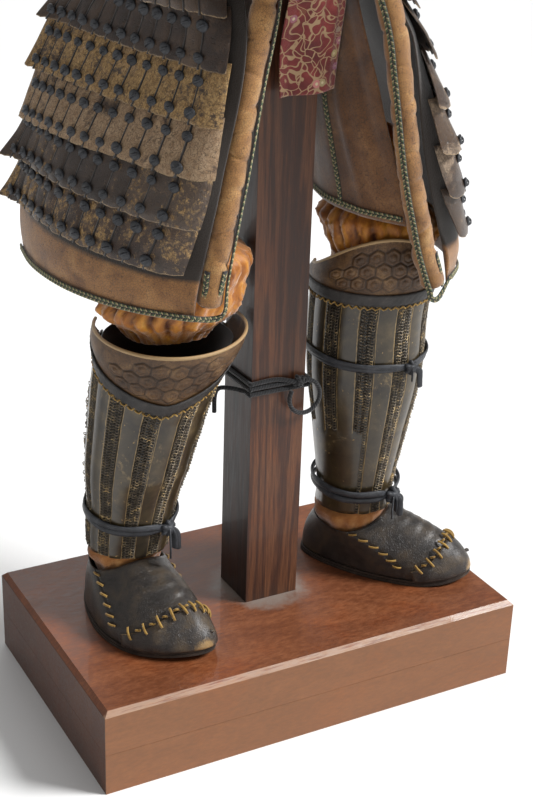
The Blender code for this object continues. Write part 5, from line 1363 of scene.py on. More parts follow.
def addKneeBorder(side):
    yaw = knees[side][0]
    angle = np.linspace(-shin["spread"], shin["spread"], 170)
    low = kneeLow(side, angle)
    outer, inner = [], []
    for drop, thick in ((-0.0105, 0.0006), (-0.0092, 0.0022), (-0.0050, 0.0030), (0.0, 0.0034), (0.0040, 0.0030),
                        (0.0062, 0.0022), (0.0070, 0.0008)):
        ripple = 0.0004 * np.sin(angle * 0.9 + drop * 900)
        if drop <= 0:
            outer.append(legRing(side, angle, low + drop, 0.0034 + thick + ripple, yaw))
            inner.append(legRing(side, angle, low + drop, 0.0034, yaw))
        else:
            v = drop / (kneeRim(side, angle) - low)
            outer.append(kneePoint(side, angle, v, 0.0011 + thick + ripple))
            inner.append(kneePoint(side, angle, v, 0.0011))
    addPiece("kneeBorder_" + side, wallShape(outer, inner), borderLeather, ["knee_border_" + side])
    # chain stitches under the strap
    places = []
    for k, a in enumerate(np.arange(-104.0, 104.0, 3.6)):
        z = kneeLow(side, np.array(a)) - 0.0142 + 0.0012 * (k % 2)
        point = legRing(side, a, z, 0.0030, yaw)
        ahead = legRing(side, a + 1.0, z, 0.0030, yaw) - point
        normal = legRing(side, a, z, 0.0060, yaw) - point
        lean = Vector(ahead).normalized() + Vector((0.0, 0.0, 0.85 if k % 2 else -0.85))
        places.append((point, normal, lean, (0.0068, 0.62, 0.62), 0.5))
    repeatPiece("borderStitches_" + side, "stitch", places, mustard)


def splintProfile(angle):
    # how far from a splint's middle, as -1 to 1 across it
    first = -shin["pitch"] * (shin["splints"] - 1) / 2
    k = np.clip(np.round((angle - first) / shin["pitch"]), 0, shin["splints"] - 1)
    return (angle - first - k * shin["pitch"]) / shin["half"]


def shinTop(side, angle):
    turn = shin["yaw"][side] - knees[side][0]
    return kneeLow(side, np.clip(angle + turn, -shin["spread"], shin["spread"])) - 0.0012


def coveredLow(side, angle, z):
    # the smooth leather panel low on the left guard's inner side
    if side == "right":
        return np.zeros(np.broadcast(angle, z).shape)
    edge = 0.372 + 0.004 * np.sin(angle * 0.21)
    return np.clip((edge - z) / 0.003, 0.0, 1.0) * np.clip((-13.0 - angle) / 1.5, 0.0, 1.0)


def addShinGuard(side):
    yaw, hem = shin["yaw"][side], shin["hem"][side]
    across = np.array([-1.22, -1.13, -1.04, -0.95, -0.80, -0.4, 0.0, 0.4, 0.80, 0.95, 1.04, 1.13,
                       1.22]) * shin["half"]
    first = -shin["pitch"] * (shin["splints"] - 1) / 2
    columns = [first - 18.0, first - 15.0]
    for k in range(shin["splints"]):
        columns += list(first + k * shin["pitch"] + across)
        columns.append(first + (k + 0.5) * shin["pitch"] if k < shin["splints"] - 1 else -first + 15.0)
    columns.append(-first + 18.0)
    angle, t = np.meshgrid(columns, np.linspace(0.0, 1.0, 60))
    z = hem + (shinTop(side, angle) - hem) * t
    p = np.abs(splintProfile(angle))
    splint = np.clip((1.16 - p) / 0.16, 0.0, 1.0)
    splint = splint * splint * (3 - 2 * splint)
    over = coveredLow(side, angle, z)
    raised = splint * (shin["raise"] + 0.0008 * (1 - np.minimum(p, 1.0) ** 2) + 0.0004 * waves(
        legRing(side, angle, z, 0.0, yaw), 55.0, 31))
    raised = np.maximum(raised - 0.0003, over * (0.0026 + 0.0005 * waves(legRing(side, angle, z, 0.0, yaw), 30.0,
            33)))
    outer = legRing(side, angle, z, raised, yaw)
    inner = legRing(side, angle, z, -shin["wall"], yaw)
    edge = np.exp(-((p - 0.98) / 0.09) ** 2) * (1 - over) + np.exp(-((t - 0.0) / 0.012) ** 2) * 0.6
    edge = edge + 0.8 * np.exp(-((over - 0.5) / 0.3) ** 2)
    cover = np.maximum(splint, over)
    marks = {"edge": [*edge.ravel(), *np.zeros(edge.size)], "cover": [*cover.ravel(), *np.zeros(edge.size)]}
    addPiece("shinGuard_" + side, wallShape(outer, inner), shinLacquer, ["shin_guard_" + side],
             marks=marks)
    # mail in the strips between the splints
    rings = []
    for strip in range(-1, shin["splints"]):
        middle = first + (strip + 0.5) * shin["pitch"]
        places = (-5.4, -1.8, 1.8, 5.4)
        if strip in (-1, shin["splints"] - 1):
            middle = first - 14.6 if strip < 0 else -first + 14.6
            places = (-2.4, 1.2) if strip < 0 else (-1.2, 2.4)
        for n, a in enumerate(places):
            top = float(shinTop(side, np.array(middle + a))) - 0.003
            count = int((top - hem) / 0.0045)
            for k in range(count):
                z = hem + 0.0025 + 0.0045 * (k + (0.5 if n % 2 else 0.0))
                if z > top or float(coveredLow(side, np.array(middle + a), np.array(z))) > 0.3:
                    continue
                ring = middle + a + 0.5 * (random.random() - 0.5)
                point = legRing(side, ring, z, 0.0013 + 0.0010 * random.random(), yaw)
                normal = Vector(legRing(side, ring, z, 0.0113, yaw) - legRing(side, ring, z, 0.0, yaw)).normalized()
                normal = normal + Vector((0.0, 0.0, 0.62 if n % 2 else -0.62)) + 0.25 * Vector(
                    (random.random() - 0.5, random.random() - 0.5, random.random() - 0.5))
                rings.append((point, normal, (0.0, 0.0, 1.0), 1.0, random.random()))
    # the outer edge's mail has frayed
    edgeWay = -1.0 if side == "right" else 1.0
    for k in range(170):
        z = 0.29 + 0.19 * random.random()
        reach = random.random()
        point = legRing(side, edgeWay * (110.0 + 14.0 * random.random()), z, 0.0005 + 0.0035 * reach ** 2, yaw)
        rings.append((point, (random.random() - 0.5, random.random() - 0.5, random.random() - 0.5 + 0.2),
                      (0.3, 0.2, 1.0), 1.0, random.random()))
    repeatPiece("shinMail_" + side, "ring", rings, mailIron, {"Size spread": 0.12})


leggingFolds = {
    "right": [(0.02, 0.22, 0.10, 0.45, 5, -2.4), (0.22, 0.20, 0.30, 0.50, 6, 2.0), (0.42, 0.25, 0.36, 0.55, 5, -2.2),
              (0.60, 0.20, 0.68, 0.48, 6, 2.2), (0.84, 0.24, 0.90, 0.50, 5, -2.0)],
    "left": [(0.06, 0.20, 0.14, 0.48, 5, -2.2), (0.28, 0.24, 0.22, 0.52, 6, 2.2), (0.50, 0.20, 0.58, 0.46, 5, -2.4),
             (0.72, 0.24, 0.66, 0.50, 6, 2.0), (0.92, 0.22, 0.86, 0.46, 5, -2.0)],
}


def addLegging(side):
    hem = shin["hem"][side]
    heights = [0.165, 0.200, hem - 0.019, hem - 0.010, hem - 0.002, 0.300, 0.434]
    puffs = [0.0, 0.0, 0.006, 0.007, 0.0, 0.0, 0.0]
    u, t = turns(96, 42)
    top = {"right": 0.552, "left": 0.434}[side]
    z = 0.165 + np.where(t < 0.6, t * 0.07 / 0.6, 0.07 + (t - 0.6) * (top - 0.235) / 0.4)
    # deep marks the legging above 0.26 m, painted near black inside the guards as painted shade
    deep = (np.clip((z - 0.260) / 0.04, 0.0, 1.0) + 0 * u).ravel()
    angle = 360 * u
    toFoot = 1 - np.maximum(0.0, np.cos(np.radians(angle - feet[side][2]))) ** 0.5
    puff = np.interp(z, heights, puffs) * toFoot
    low = np.clip((hem + 0.004 - z) / 0.02, 0.0, 1.0) * np.clip((z - 0.182) / 0.015, 0.0, 1.0)
    relief = creases(u, t, (0.34, 0.16), leggingFolds[side], True) * low
    relief = relief + low * 0.0012 * np.sin(np.radians(angle) * 14 + 3 * np.sin(np.radians(angle) * 2)) * (0.5 + toFoot)
    outer = legRing(side, angle, z, shin["inset"] + puff + relief, 0.0)
    inner = legRing(side, angle, z, shin["inset"] + puff + relief - 0.0018, 0.0)
    piece = addPiece("legging_" + side, wallShape(outer, inner, True, pinch=0.5), leggingCloth,
                     ["legging_" + side],
                     marks={"deep": [*deep, *deep]})


# shoes

def footPoint(side, forward, across, z):
    x, y, yaw = feet[side][:3]
    w = math.radians(yaw)
    return np.stack(np.broadcast_arrays(x + forward * math.sin(w) + across * math.cos(w),
                                        y - forward * math.cos(w) + across * math.sin(w), z), axis=-1)


def soleOutline(side, a, grow):
    widest = 0.60 * shoe["length"]
    bend, half = feet[side][3:]
    c, s = np.cos(a), np.sin(a)
    ahead = np.maximum(c, 0.0)
    forward = np.where(c > 0, widest + (shoe["length"] - widest + grow) * ahead ** 0.86, widest + (widest + grow) * c)
    across = np.where(c > 0, (half + grow) * np.sign(s) * np.abs(s) ** 1.12, (half + grow) * s * (1 - 0.10 * c * c))
    return forward, across + bend * np.maximum(0.0, (forward / shoe["length"] - 0.45) / 0.55) ** 2


def toeLift(forward):
    return 0.010 * np.maximum(0.0, (forward / shoe["length"] - 0.72) / 0.28) ** 2


def shoePoint(side, a, t, out):
    a, t, out = np.broadcast_arrays(np.asarray(a, float), np.asarray(t, float), np.asarray(out, float))
    forward, across = soleOutline(side, a, out - 0.002)
    x, y, yaw = feet[side][:3]
    legX, legY = atHeight(legs[side], np.array(0.205))[:2]
    w = math.radians(yaw)
    ankleF = (legX - x) * math.sin(w) - (legY - y) * math.cos(w)
    ankleA = (legX - x) * math.cos(w) + (legY - y) * math.sin(w)
    collarF = ankleF + (0.0560 + out) * np.cos(a)
    collarA = ankleA + (0.0530 + out) * np.sin(a)
    front = np.maximum(0.0, np.cos(a))
    collarZ = 0.062 + 0.027 * front ** 2 + 0.006 * np.maximum(0.0, -np.cos(a))
    bend = t * math.pi / 2
    lean = 1 - np.cos(bend)
    rise = np.where(front > 0, 0.62 * np.sin(bend) + 0.38 * lean, np.sin(bend))
    rise = front * rise + (1 - front) * (0.75 * t + 0.25 * np.sin(bend))
    low = stand["baseTop"] + shoe["sole"] + 0.0008
    z = low + toeLift(forward) * (1 - t) + collarZ * rise + out * rise
    return footPoint(side, forward + (collarF - forward) * lean, across + (collarA - across) * lean, z)


def seamLevel(a):
    k = np.abs(np.degrees((a + math.pi) % (2 * math.pi) - math.pi)) / 15.0
    return np.where(k > 5.0, 0.20, 0.20 + 0.30 * np.cos(math.pi / 2 * np.minimum(k, 5.0) / 5.0))


def bentStitches(side, spots, out, length, across):
    # cord stitches over a seam: each lies across it, or along the foot's girth
    places = []
    for a, t in spots:
        point = shoePoint(side, a, t, out)
        up = shoePoint(side, a, t + 0.02, out) - point
        around = shoePoint(side, a + 0.02, t, out) - point
        normal = Vector(np.cross(around, up))
        if normal.dot(Vector(point - shoePoint(side, a, t, out - 0.01))) < 0:
            normal = -normal
        main, other = (up, around) if across else (around, up)
        lean = Vector(main).normalized() + 0.35 * (random.random() - 0.5) * Vector(other).normalized()
        places.append((point, normal, lean, (length * (0.9 + 0.2 * random.random()), 1.0, 1.0), random.random()))
    return places


def addShoe(side):
    ground = stand["baseTop"] + 0.0004
    count = 120
    a = 2 * math.pi * np.arange(count) / count
    shapes = []
    for low, high, grow in ((0.0, 0.0042, 0.0), (0.0046, 0.0080, -0.0008)):
        forward, across = soleOutline(side, a, grow)
        under = footPoint(side, forward, across, ground + low + toeLift(forward))
        over = footPoint(side, forward, across, ground + high + toeLift(forward))
        points = [*under, *over]
        faces = [(i, (i + 1) % count, count + (i + 1) % count, count + i) for i in range(count)]
        for i in range(0, count // 2):
            p, q, r, s = i, i + 1, (count - i - 1) % count, (count - i) % count
            ring = [v for n, v in enumerate((p, q, r, s)) if v not in (p, q, r, s)[:n]]
            faces += [tuple(ring), tuple(count + v for v in reversed(ring))]
        shapes.append((points, faces, [(0.0, 0.0)] * sum(len(f) for f in faces)))
    addPiece("sole_" + side, joinShapes(shapes), soleLeather, ["sole_" + side], sharp=40)

    u, t = turns(126, 42)
    a = 2 * math.pi * u
    flat = shoePoint(side, a, t, 0.0)
    vamp = np.exp(-((((a + math.pi) % (2 * math.pi)) - math.pi) / 0.55) ** 2)
    seams = sum(np.exp(-(((a - place + math.pi) % (2 * math.pi) - math.pi) / 0.020) ** 2) for place in (1.45, -1.45))
    relief = 0.0010 * waves(flat, 42.0, 41) + 0.0004 * waves(flat, 130.0, 42)
    for k, place in enumerate((0.60, 0.68, 0.77, 0.87)):
        bow = place + 0.03 * np.sin(a * 2.0 + k)
        relief = relief - 0.0013 * vamp * np.exp(-((t - bow) / 0.016) ** 2)
        relief = relief + 0.0007 * vamp * np.exp(-((t - bow - 0.035) / 0.016) ** 2)
    relief = relief - 0.0012 * seams + 0.0010 * np.exp(-((t - 0.985) / 0.02) ** 2)
    # two layers meet at the cap's seam
    relief = relief - 0.0008 * np.exp(-((t - seamLevel(a) - 0.02) / 0.012) ** 2) * (np.cos(a) > 0.25)
    outer = shoePoint(side, a, t, relief)
    inner = shoePoint(side, a, t, -shoe["wall"])
    addPiece("shoe_" + side, wallShape(outer, inner, True, pinch=0.3), shoeLeather, ["shoe_" + side])

    s, v = spread(84, 32)
    a = np.radians((2 * s - 1) * shoe["capTurns"])
    top = seamLevel(a)
    v = v * (top + 0.006 * np.sin(a * 9.0 + 1.0) * 0.5)
    flat = shoePoint(side, a, v, 0.0)
    relief = 0.0007 * waves(flat, 60.0, 43) + 0.0004 * waves(flat, 170.0, 44)
    # the small slit at the toe
    relief = relief - 0.0016 * np.exp(-((a - 0.34) / 0.05) ** 2 - ((v - 0.19) / 0.035) ** 2)
    face = shoePoint(side, a, v, 0.0034 + relief)
    back = shoePoint(side, a, v, 0.0012)
    tip = np.exp(-(a / 0.30) ** 2 - (v / 0.16) ** 2).ravel() * 1.1
    rimMark = np.exp(-((top * 1.0 - v) / 0.012) ** 2).ravel() * 0.5
    tipMark = np.maximum(tip, rimMark)
    addPiece("toeCap_" + side, wallShape(face, back, pinch=0.35), toeLeather, ["toe_cap_" + side],
             marks={"edge": [*tipMark, *tipMark], "grooveShade": [*np.zeros(2 * tip.size)]})
    tip = shoePoint(side, 0.34, 0.215, 0.0036)
    nub = blobShape(tip, (0.0042, 0.0030, 0.0026), 0.3, 5)
    addPiece("toeNub_" + side, nub, toeLeather)

    capSpots = [(math.radians(x), float(seamLevel(np.array(math.radians(x)))) + 0.006) for x in np.linspace(-66, 66,
            10)]
    stitches = bentStitches(side, capSpots, 0.0034, 0.0180, True)
    stitches += bentStitches(side, [(math.radians(x), float(seamLevel(np.array(math.radians(x)))) + 0.018)
                                    for x in np.linspace(-58, 58, 9)], 0.0012, 0.0080, False)
    for way in (1.45, -1.45):
        stitches += bentStitches(side, [(way, t) for t in (0.28, 0.41, 0.54, 0.67, 0.80, 0.92)], 0.0012, 0.0150,
                                 False)
    repeatPiece("shoeStitches_" + side, "stitch", stitches, mustard)


def blobShape(centre, size, lumpy, seed):
    # a closed, uneven lump
    ringCount, sideCount = 14, 22
    points, faces = [], []
    for j in range(ringCount):
        polar = math.pi * (j + 0.5) / ringCount
        for i in range(sideCount):
            a = 2 * math.pi * i / sideCount
            way = np.array([math.sin(polar) * math.cos(a), math.sin(polar) * math.sin(a), math.cos(polar)])
            grow = 1 + lumpy * lumps(way, 1.6, seed)
            points.append(np.array(centre) + way * np.array(size) * grow)
    for j in range(ringCount - 1):
        for i in range(sideCount):
            n = (i + 1) % sideCount
            faces.append((j * sideCount + i, j * sideCount + n, (j + 1) * sideCount + n, (j + 1) * sideCount + i))
    faces.append(tuple(reversed(range(sideCount))))
    faces.append(tuple(range((ringCount - 1) * sideCount, ringCount * sideCount)))
    return points, faces, [(0.0, 0.0)] * sum(len(f) for f in faces)


def strapEnd(start, way, down, length, width, curl):
    # a loose end: leaves the knot along way, then falls, cut to a point
    path = [np.array(start) + np.array(way) * length * 0.45 * math.sin(k * 0.28) * (1 + curl * math.sin(k * 0.9))
            + np.array(down) * length * (k / 7) ** 1.6 for k in range(8)]
    line = catmull(path, 26)
    radii = [width * (1.0 - 0.2 * k / 25) * (0.35 if k == 25 else 1.0) for k in range(26)]
    facing = np.tile(np.cross(np.array(way), np.array([0.0, 0.0, 1.0])), (26, 1))
    return tubeShape(line, radii, 8, flat=0.32, facing=facing)


legTies = {
    "ankle_tie_right": {"side": "right", "height": 0.278, "slope": -0.006, "knotAt": 25.0, "clear": 0.0005,
                        "knot": 0.0118,
                        "bands": (0.0, 0.0075), "width": 0.0046, "ends": ((0.7, 0.034), (-0.5, 0.040), (0.2, 0.030))},
    "ankle_tie_left": {"side": "left", "height": 0.266, "slope": -0.004, "knotAt": 22.0, "clear": 0.0042,
                       "knot": 0.0135,
                       "bands": (-0.0030, 0.0078), "width": 0.0050,
                       "ends": ((1.1, 0.026), (-0.9, 0.030), (0.5, 0.034), (-0.2, 0.024))},
    "knee_tie_left": {"side": "left", "height": 0.482, "slope": -0.004, "knotAt": 12.0, "clear": 0.0003,
                      "knot": 0.0108,
                      "bands": (0.0, 0.0052), "width": 0.0040, "ends": ((0.9, 0.030), (1.3, 0.024), (-0.4, 0.018))},
}


def addLegTie(name, tie):
    side, knotAt = tie["side"], tie["knotAt"]
    shapes = []
    base = shin["raise"] + tie["clear"] + 0.0024
    for k, lift in enumerate(tie["bands"]):
        angle = np.linspace(0.0, 360.0, 150, endpoint=False)
        near = np.abs((angle - knotAt + 180) % 360 - 180)
        z = tie["height"] + tie["slope"] * np.cos(np.radians(angle - knotAt)) + lift * (1 - np.exp(-(near / 16.0) ** 2))
        z = z + 0.0012 * np.sin(np.radians(angle) * (3 + k) + k)
        sag = 0.0006 * np.sin(np.radians(angle) * 5 + 2 * k)
        path = legRing(side, angle, z, base + sag + 0.0008 * k, 0.0)
        facing = legRing(side, angle, z, 0.05, 0.0) - legRing(side, angle, z, 0.0, 0.0)
        facing = facing + np.array([0.0, 0.0, 0.012]) * np.sin(np.radians(angle) * 4 + k)[:, None]
        shapes.append(tubeShape(path, tie["width"], 10, closed=True, flat=0.46, facing=facing))
    z = tie["height"] + tie["slope"]
    centre = legRing(side, knotAt, z, base + tie["knot"] * 0.45, 0.0)
    out = Vector(legRing(side, knotAt, z, 0.05, 0.0) - legRing(side, knotAt, z, 0.0, 0.0)).normalized()
    around = Vector((0.0, 0.0, 1.0)).cross(out)
    size = tie["knot"]
    shapes.append(blobShape(centre, (size * 0.82, size * 0.72, size * 0.66), 0.35, 3))
    shapes.append(blobShape(np.array(centre) + np.array(around) * size * 0.6 + np.array([0, 0, size * 0.25]),
                            (size * 0.5, size * 0.5, size * 0.42), 0.3, 8))
    for k in range(3):
        a = math.radians(30 + 60 * k)
        ring = [np.array(centre) + np.array(out) * size * 0.30 * math.sin(q) + (np.array(around) * math.cos(a) + np.array(
            [0.0, 0.0, math.sin(a)])) * size * 0.86 * math.cos(q) for q in np.linspace(0.0, 2 * math.pi, 24,
                    endpoint=False)]
        shapes.append(tubeShape(ring, tie["width"] * 0.62, 8, closed=True))
    for way, length in tie["ends"]:
        lean = np.array(around) * way + np.array(out) * 0.55
        shapes.append(strapEnd(np.array(centre) + np.array(out) * 0.003, lean, np.array([0.0, 0.0, -1.0]), length,
                               tie["width"] * 1.15, 0.15 * way))
    tiePiece = addPiece(name.replace("_tie", "Tie"), joinShapes(shapes), knotLeather, [name])
    return tiePiece


def addPostCord():
    thick = 0.0032
    (px, py), (hx, hy) = stand["postMiddle"], stand["postHalf"]
    x0, x1 = px - hx - thick - 0.0004, px + hx + thick + 0.0004
    y0, y1 = py - hy - thick - 0.0004, py + hy + thick + 0.0004
    corner, near = 0.006, 0.0006
    wound = [(x0, y0 + corner), (x0 + near, y0 + near), (x0 + corner, y0), (x1 - corner, y0), (x1 - near, y0 + near),
             (x1, y0 + corner), (x1, y1 - corner), (x1 - near, y1 - near), (x1 - corner, y1), (x0 + corner, y1),
             (x0 + near, y1 - near), (x0, y1 - corner)]
    path = [(-0.0745, 0.0, 0.424), (-0.0740, 0.0, 0.450), (-0.0680, -0.002, 0.4600), (-0.0530, -0.010, 0.4600),
            (x0 - 0.0004, -0.020, 0.4570)]
    start, rise = 0.4570, 0.0084
    for turn in range(2):
        path += [(x, y, start + rise * (turn + k / 12)) for k, (x, y) in enumerate(wound)]
    high = start + rise * 2.02
    path += [(x, y, high) for x, y in wound[:3]]
    path.append((px - 0.004, y0 - 0.0004, high + 0.001))
    for k in range(11):
        a = math.radians(112 - 322 * k / 10)
        path.append((0.0420 + 0.0245 * math.cos(a), y0 - 0.0072 - 0.0015 * k / 10, 0.4455 + 0.0245 * math.sin(a)))
    line = catmull(list(reversed(path)), 8 * (len(path) - 1) + 1)
    cordPiece = addPiece("postCord", tubeShape(line, thick, 12), cordBlack, ["post_tie"])
    knotAt = np.array([0.0335, y0 - 0.0050, 0.4695])
    shapes = [blobShape(knotAt, (0.0072, 0.0050, 0.0064), 0.3, 2)]
    for k in range(2):
        a = math.radians(35 + 80 * k)
        ring = [knotAt + np.array([math.cos(a) * math.cos(q) * 0.0078, -0.0046 * math.sin(q),
                                   math.sin(a) * math.cos(q) * 0.0078])
                for q in np.linspace(0.0, 2 * math.pi, 24, endpoint=False)]
        shapes.append(tubeShape(ring, 0.0026, 8, closed=True))
    knotPiece = addPiece("postCordKnot", joinShapes(shapes), cordBlack)


for side in sides:
    addShinGuard(side)
    addKneeGuard(side)
    addKneeBorder(side)
    addLegging(side)
    addShoe(side)
for name, tie in legTies.items():
    addLegTie(name, tie)
addPostCord()
print("legs, shoes and cords")


# the upper body, which the photograph doesn't reach, is kept plain

trunk = [(1.195, 0.166, 0.132), (1.260, 0.160, 0.128), (1.340, 0.172, 0.138), (1.410, 0.176, 0.140),
         (1.460, 0.168, 0.128), (1.500, 0.150, 0.110)]
panelWall = 0.003


def trunkPoint(angle, z, out=0.0):
    row = atHeight(trunk, z)
    return onRing(0.0, stand["bodyY"], row[..., 0] + out, row[..., 1] + out, angle, 0.0, z)


def laneLines(z, start, tall):
    # the low step of each lacquered band over the next
    return 0.0011 * (((z - start) / tall) % 1.0 - 0.5)


def panelPiece(name, grid, finish, node, flip=False, keep=None):
    grid = np.array(grid, float)
    n = normalsOf(grid) * (-1.0 if flip else 1.0)
    low = grid[..., 2]
    edgeMark = np.zeros(grid.shape[:2])
    edgeMark[0] = edgeMark[-1] = 1.0
    edgeMark[:, 0] = edgeMark[:, -1] = 1.0
    bands = np.exp(-((((low - grid[0, 0, 2]) / 0.032) % 1.0) / 0.06) ** 2)
    mark = np.maximum(edgeMark, 0.55 * bands).ravel()
    addPiece(name, wallShape(grid, grid - n * panelWall, keep=keep), finish, [node], sharp=50,
             marks={"edge": [*mark, *mark]})


def addCuirass():
    def part(cuts, counts):
        return np.concatenate([np.linspace(a, b, n, endpoint=False) for a, b,
                               n in zip(cuts[:-1], cuts[1:], counts)] + [[cuts[-1]]])
    angles = part([-89.6, -57, -22, 22, 57, 89.6], [10, 12, 14, 12, 10])
    heights = part([1.195, 1.370, 1.420, 1.455], [56, 14, 10])
    a, z = np.meshgrid(angles, heights)
    middleA = np.abs((a[:-1, :-1] + a[:-1, 1:]) / 2)
    middleZ = (z[:-1, :-1] + z[1:, :-1]) / 2
    keep = ~(((middleZ > 1.370) & (middleA > 57)) | ((middleZ > 1.420) & (middleA < 22)))
    panelPiece("cuirassFront", trunkPoint(a, z, laneLines(z, 1.195, 0.032)), bodyLacquer,
               "cuirass_front", keep=keep)
    angles = 180 + angles
    heights = part([1.195, 1.370, 1.490], [56, 30])
    a, z = np.meshgrid(angles, heights)
    grid = list(trunkPoint(a, z, laneLines(z, 1.195, 0.032)))
    middleA = np.abs((angles[:-1] + angles[1:]) / 2 - 180)
    middleZ = (heights[:-1] + heights[1:]) / 2
    keep = [~((h > 1.370) & (middleA > 57)) for h in middleZ]
    back = trunkPoint(angles, 1.490 + 0 * angles)
    front = trunkPoint(180 - angles, 1.4565 + 0 * angles)
    for place in np.linspace(0.04, 1.0, 25):
        low = 1.490 + (1.4585 - 1.490) * place
        z = low + (1.5378 - low) * math.sin(math.pi * min(place, 1.0)) ** 0.6 * 0.999
        row = back + (front - back) * place
        row[:, 2] = z
        grid.append(row)
        keep.append((middleA > 39) & (middleA < 57))
    panelPiece("cuirassBack", grid, bodyLacquer, "cuirass_back", keep=np.array(keep))


def addPanels():
    for k in range(7):
        table = ((1.036, 0.243, 0.236, 24.2), (1.115, 0.205, 0.187, 24.0), (1.1942, 0.1665, 0.1325, 23.6))
        s, t = spread(18, 46)
        z = 1.036 + 0.1582 * t
        row = atHeight(table, z)
        out = laneLines(z, 1.036, 0.032)
        grid = onRing(0.0, stand["bodyY"], row[..., 0] + out, row[..., 1] + out,
                      360 / 7 * k + row[..., 2] * (2 * s - 1), 0.0, z)
        panelPiece("tasset_%d" % (k + 1), grid, bodyLacquer, "tasset_%d" % (k + 1))
    for side in sides:
        sign = -1.0 if side == "right" else 1.0
        table = ((1.250, 0.3440), (1.360, 0.3390), (1.420, 0.3280), (1.457, 0.3095), (1.481, 0.2858))
        s, t = spread(28, 60)
        z = 1.250 + 0.231 * t
        x = atHeight(table, z)[..., 0] + laneLines(z, 1.250, 0.036)
        grid = np.stack([sign * (x - 0.030 * (2 * s - 1) ** 2), 0.056 + 0.105 * (2 * s - 1), z], axis=-1)
        panelPiece("shoulderGuard_" + side, grid, bodyLacquer, "shoulder_guard_" + side,
                   flip=side == "right")
    table = ((1.560, 0.170, 0.186), (1.600, 0.146, 0.164), (1.640, 0.122, 0.142), (1.6592, 0.1095, 0.1305))
    s, t = spread(80, 30)
    z = 1.560 + 0.0992 * t
    row = atHeight(table, z)
    out = laneLines(z, 1.560, 0.025)
    panelPiece("neckGuard", onRing(0.0, 0.036, row[..., 0] + out, row[..., 1] + out, 62 + 236 * s, 0.0, z),
               bodyLacquer, "neck_guard")


def addHelmet():
    u, t = turns(112, 28)
    rise = np.radians(88) * t
    ribs = 0.0011 * np.exp(-((((u * 16) % 1.0) - 0.5) / 0.07) ** 2) * np.cos(rise) ** 0.5
    shapes = []
    for out, high, extra in ((0.0, 0.170, ribs), (-0.003, 0.167, 0.0 * ribs)):
        shapes.append(onRing(0.0, 0.036, (0.107 + out) * np.cos(rise) + 0.0018 + extra,
                             (0.128 + out) * np.cos(rise) + 0.0018 + extra,
                             360 * u, 0.0, 1.660 + high * np.sin(rise)))
    points, faces, corners = wallShape(shapes[0], shapes[1], True)
    rows, columns = shapes[0].shape[:2]
    top, shift = (rows - 1) * columns, rows * columns
    kept, keptCorners, at = [], [], 0
    for face in faces:
        if not (min(face[:2]) >= top and max(face[:2]) < shift
                and max(face) >= shift + top and min(face[2:]) >= shift + top):
            kept.append(face)
            keptCorners += corners[at:at + len(face)]
        at += len(face)
    kept += [tuple(range(top, top + columns)), tuple(reversed(range(shift + top, shift + top + columns)))]
    keptCorners += [(0.0, 0.0)] * (2 * columns)
    addPiece("helmetBowl", (points, kept, keptCorners), helmetIron, ["helmet_bowl"], sharp=60)


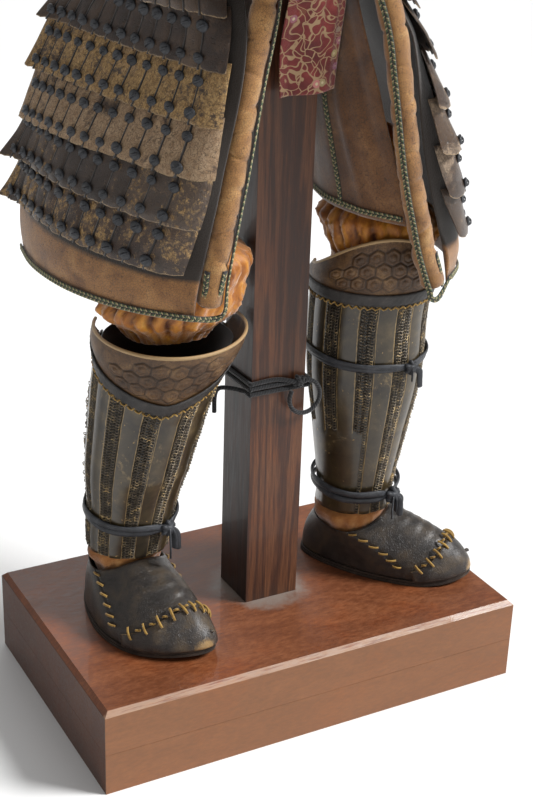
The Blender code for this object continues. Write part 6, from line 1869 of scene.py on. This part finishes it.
sleevePath = [(0.176, 0.052, 1.4817, 0.0573), (0.205, 0.052, 1.4720, 0.0610), (0.238, 0.054, 1.4380, 0.0610),
              (0.262, 0.056, 1.3800, 0.0570), (0.276, 0.060, 1.3000, 0.0520), (0.280, 0.058, 1.2300, 0.0500),
              (0.276, 0.026, 1.1760, 0.0500), (0.262, -0.030, 1.1620, 0.0460), (0.244, -0.090, 1.1640, 0.0400),
              (0.228, -0.140, 1.1680, 0.0360)]
sleeveFolds = [(0.70, 0.42, 0.95, 0.50, 9, -3.2), (0.05, 0.48, 0.30, 0.56, 9, -3.0),
               (0.60, 0.56, 0.90, 0.60, 8, -3.0),
               (0.20, 0.10, 0.42, 0.22, 11, -2.6), (0.55, 0.20, 0.80, 0.30, 12, 2.4),
               (0.10, 0.30, 0.34, 0.36, 10, -2.4),
               (0.40, 0.70, 0.66, 0.78, 9, -2.6), (0.82, 0.74, 0.10, 0.82, 9, 2.2), (0.30, 0.88, 0.60, 0.92, 8, -2.0)]


def addSleeve(side):
    sign = -1.0 if side == "right" else 1.0
    rows, columns = 80, 44
    line = catmull([(sign * x, y, z) for x, y, z, r in sleevePath], rows)
    radii = catmull([(r, r, r) for x, y, z, r in sleevePath], rows)[:, 0]
    ahead = np.gradient(line, axis=0)
    ahead[0] = (sign, 0.0, -0.12)
    ahead /= np.linalg.norm(ahead, axis=1, keepdims=True)
    across = np.array([0.0, 1.0, 0.0])
    u, t = turns(columns, rows)
    relief = creases(u, t, (0.34, 0.62), sleeveFolds,
                     True) + 0.0008 * waves(np.stack([np.cos(6.283 * u), np.sin(6.283 * u), t * 6], -1), 3.0, 51)
    outer, inner = [], []
    for k in range(rows):
        across = across - (across @ ahead[k]) * ahead[k]
        across /= np.linalg.norm(across)
        other = np.cross(ahead[k], across)
        a = 2 * math.pi * u[k]
        way = np.cos(a)[:, None] * across + np.sin(a)[:, None] * other
        outer.append(line[k] + (radii[k] + relief[k])[:, None] * way)
        inner.append(line[k] + (radii[k] + relief[k] - 0.0025)[:, None] * way)
    piece = addPiece("sleeve_" + side, wallShape(outer, inner, True, pinch=0.4), sleeveCloth,
                     ["sleeve_" + side])


def addBelt():
    u, t = turns(120, 16)
    z = 1.0895 + 0.0385 * t
    relief = 0.0010 * np.sin(3 * math.pi * t + 0.6 * np.sin(12.566 * u)) + 0.0005 * np.sin(31.4 * u)
    outer = onRing(0.0, stand["bodyY"], 0.1675 + 0.005 + relief, 0.1460 + 0.005 + relief, 360 * u, 0.0, z)
    inner = onRing(0.0, stand["bodyY"], 0.1675 + 0.0022 + relief * 0.3, 0.1460 + 0.0022 + relief * 0.3, 360 * u, 0.0,
                   z)
    piece = addPiece("waistBelt", wallShape(outer, inner, True, pinch=0.4), beltCloth, ["waist_belt"])


addCuirass()
addPanels()
addHelmet()
for side in sides:
    addSleeve(side)
addBelt()
print("upper body")
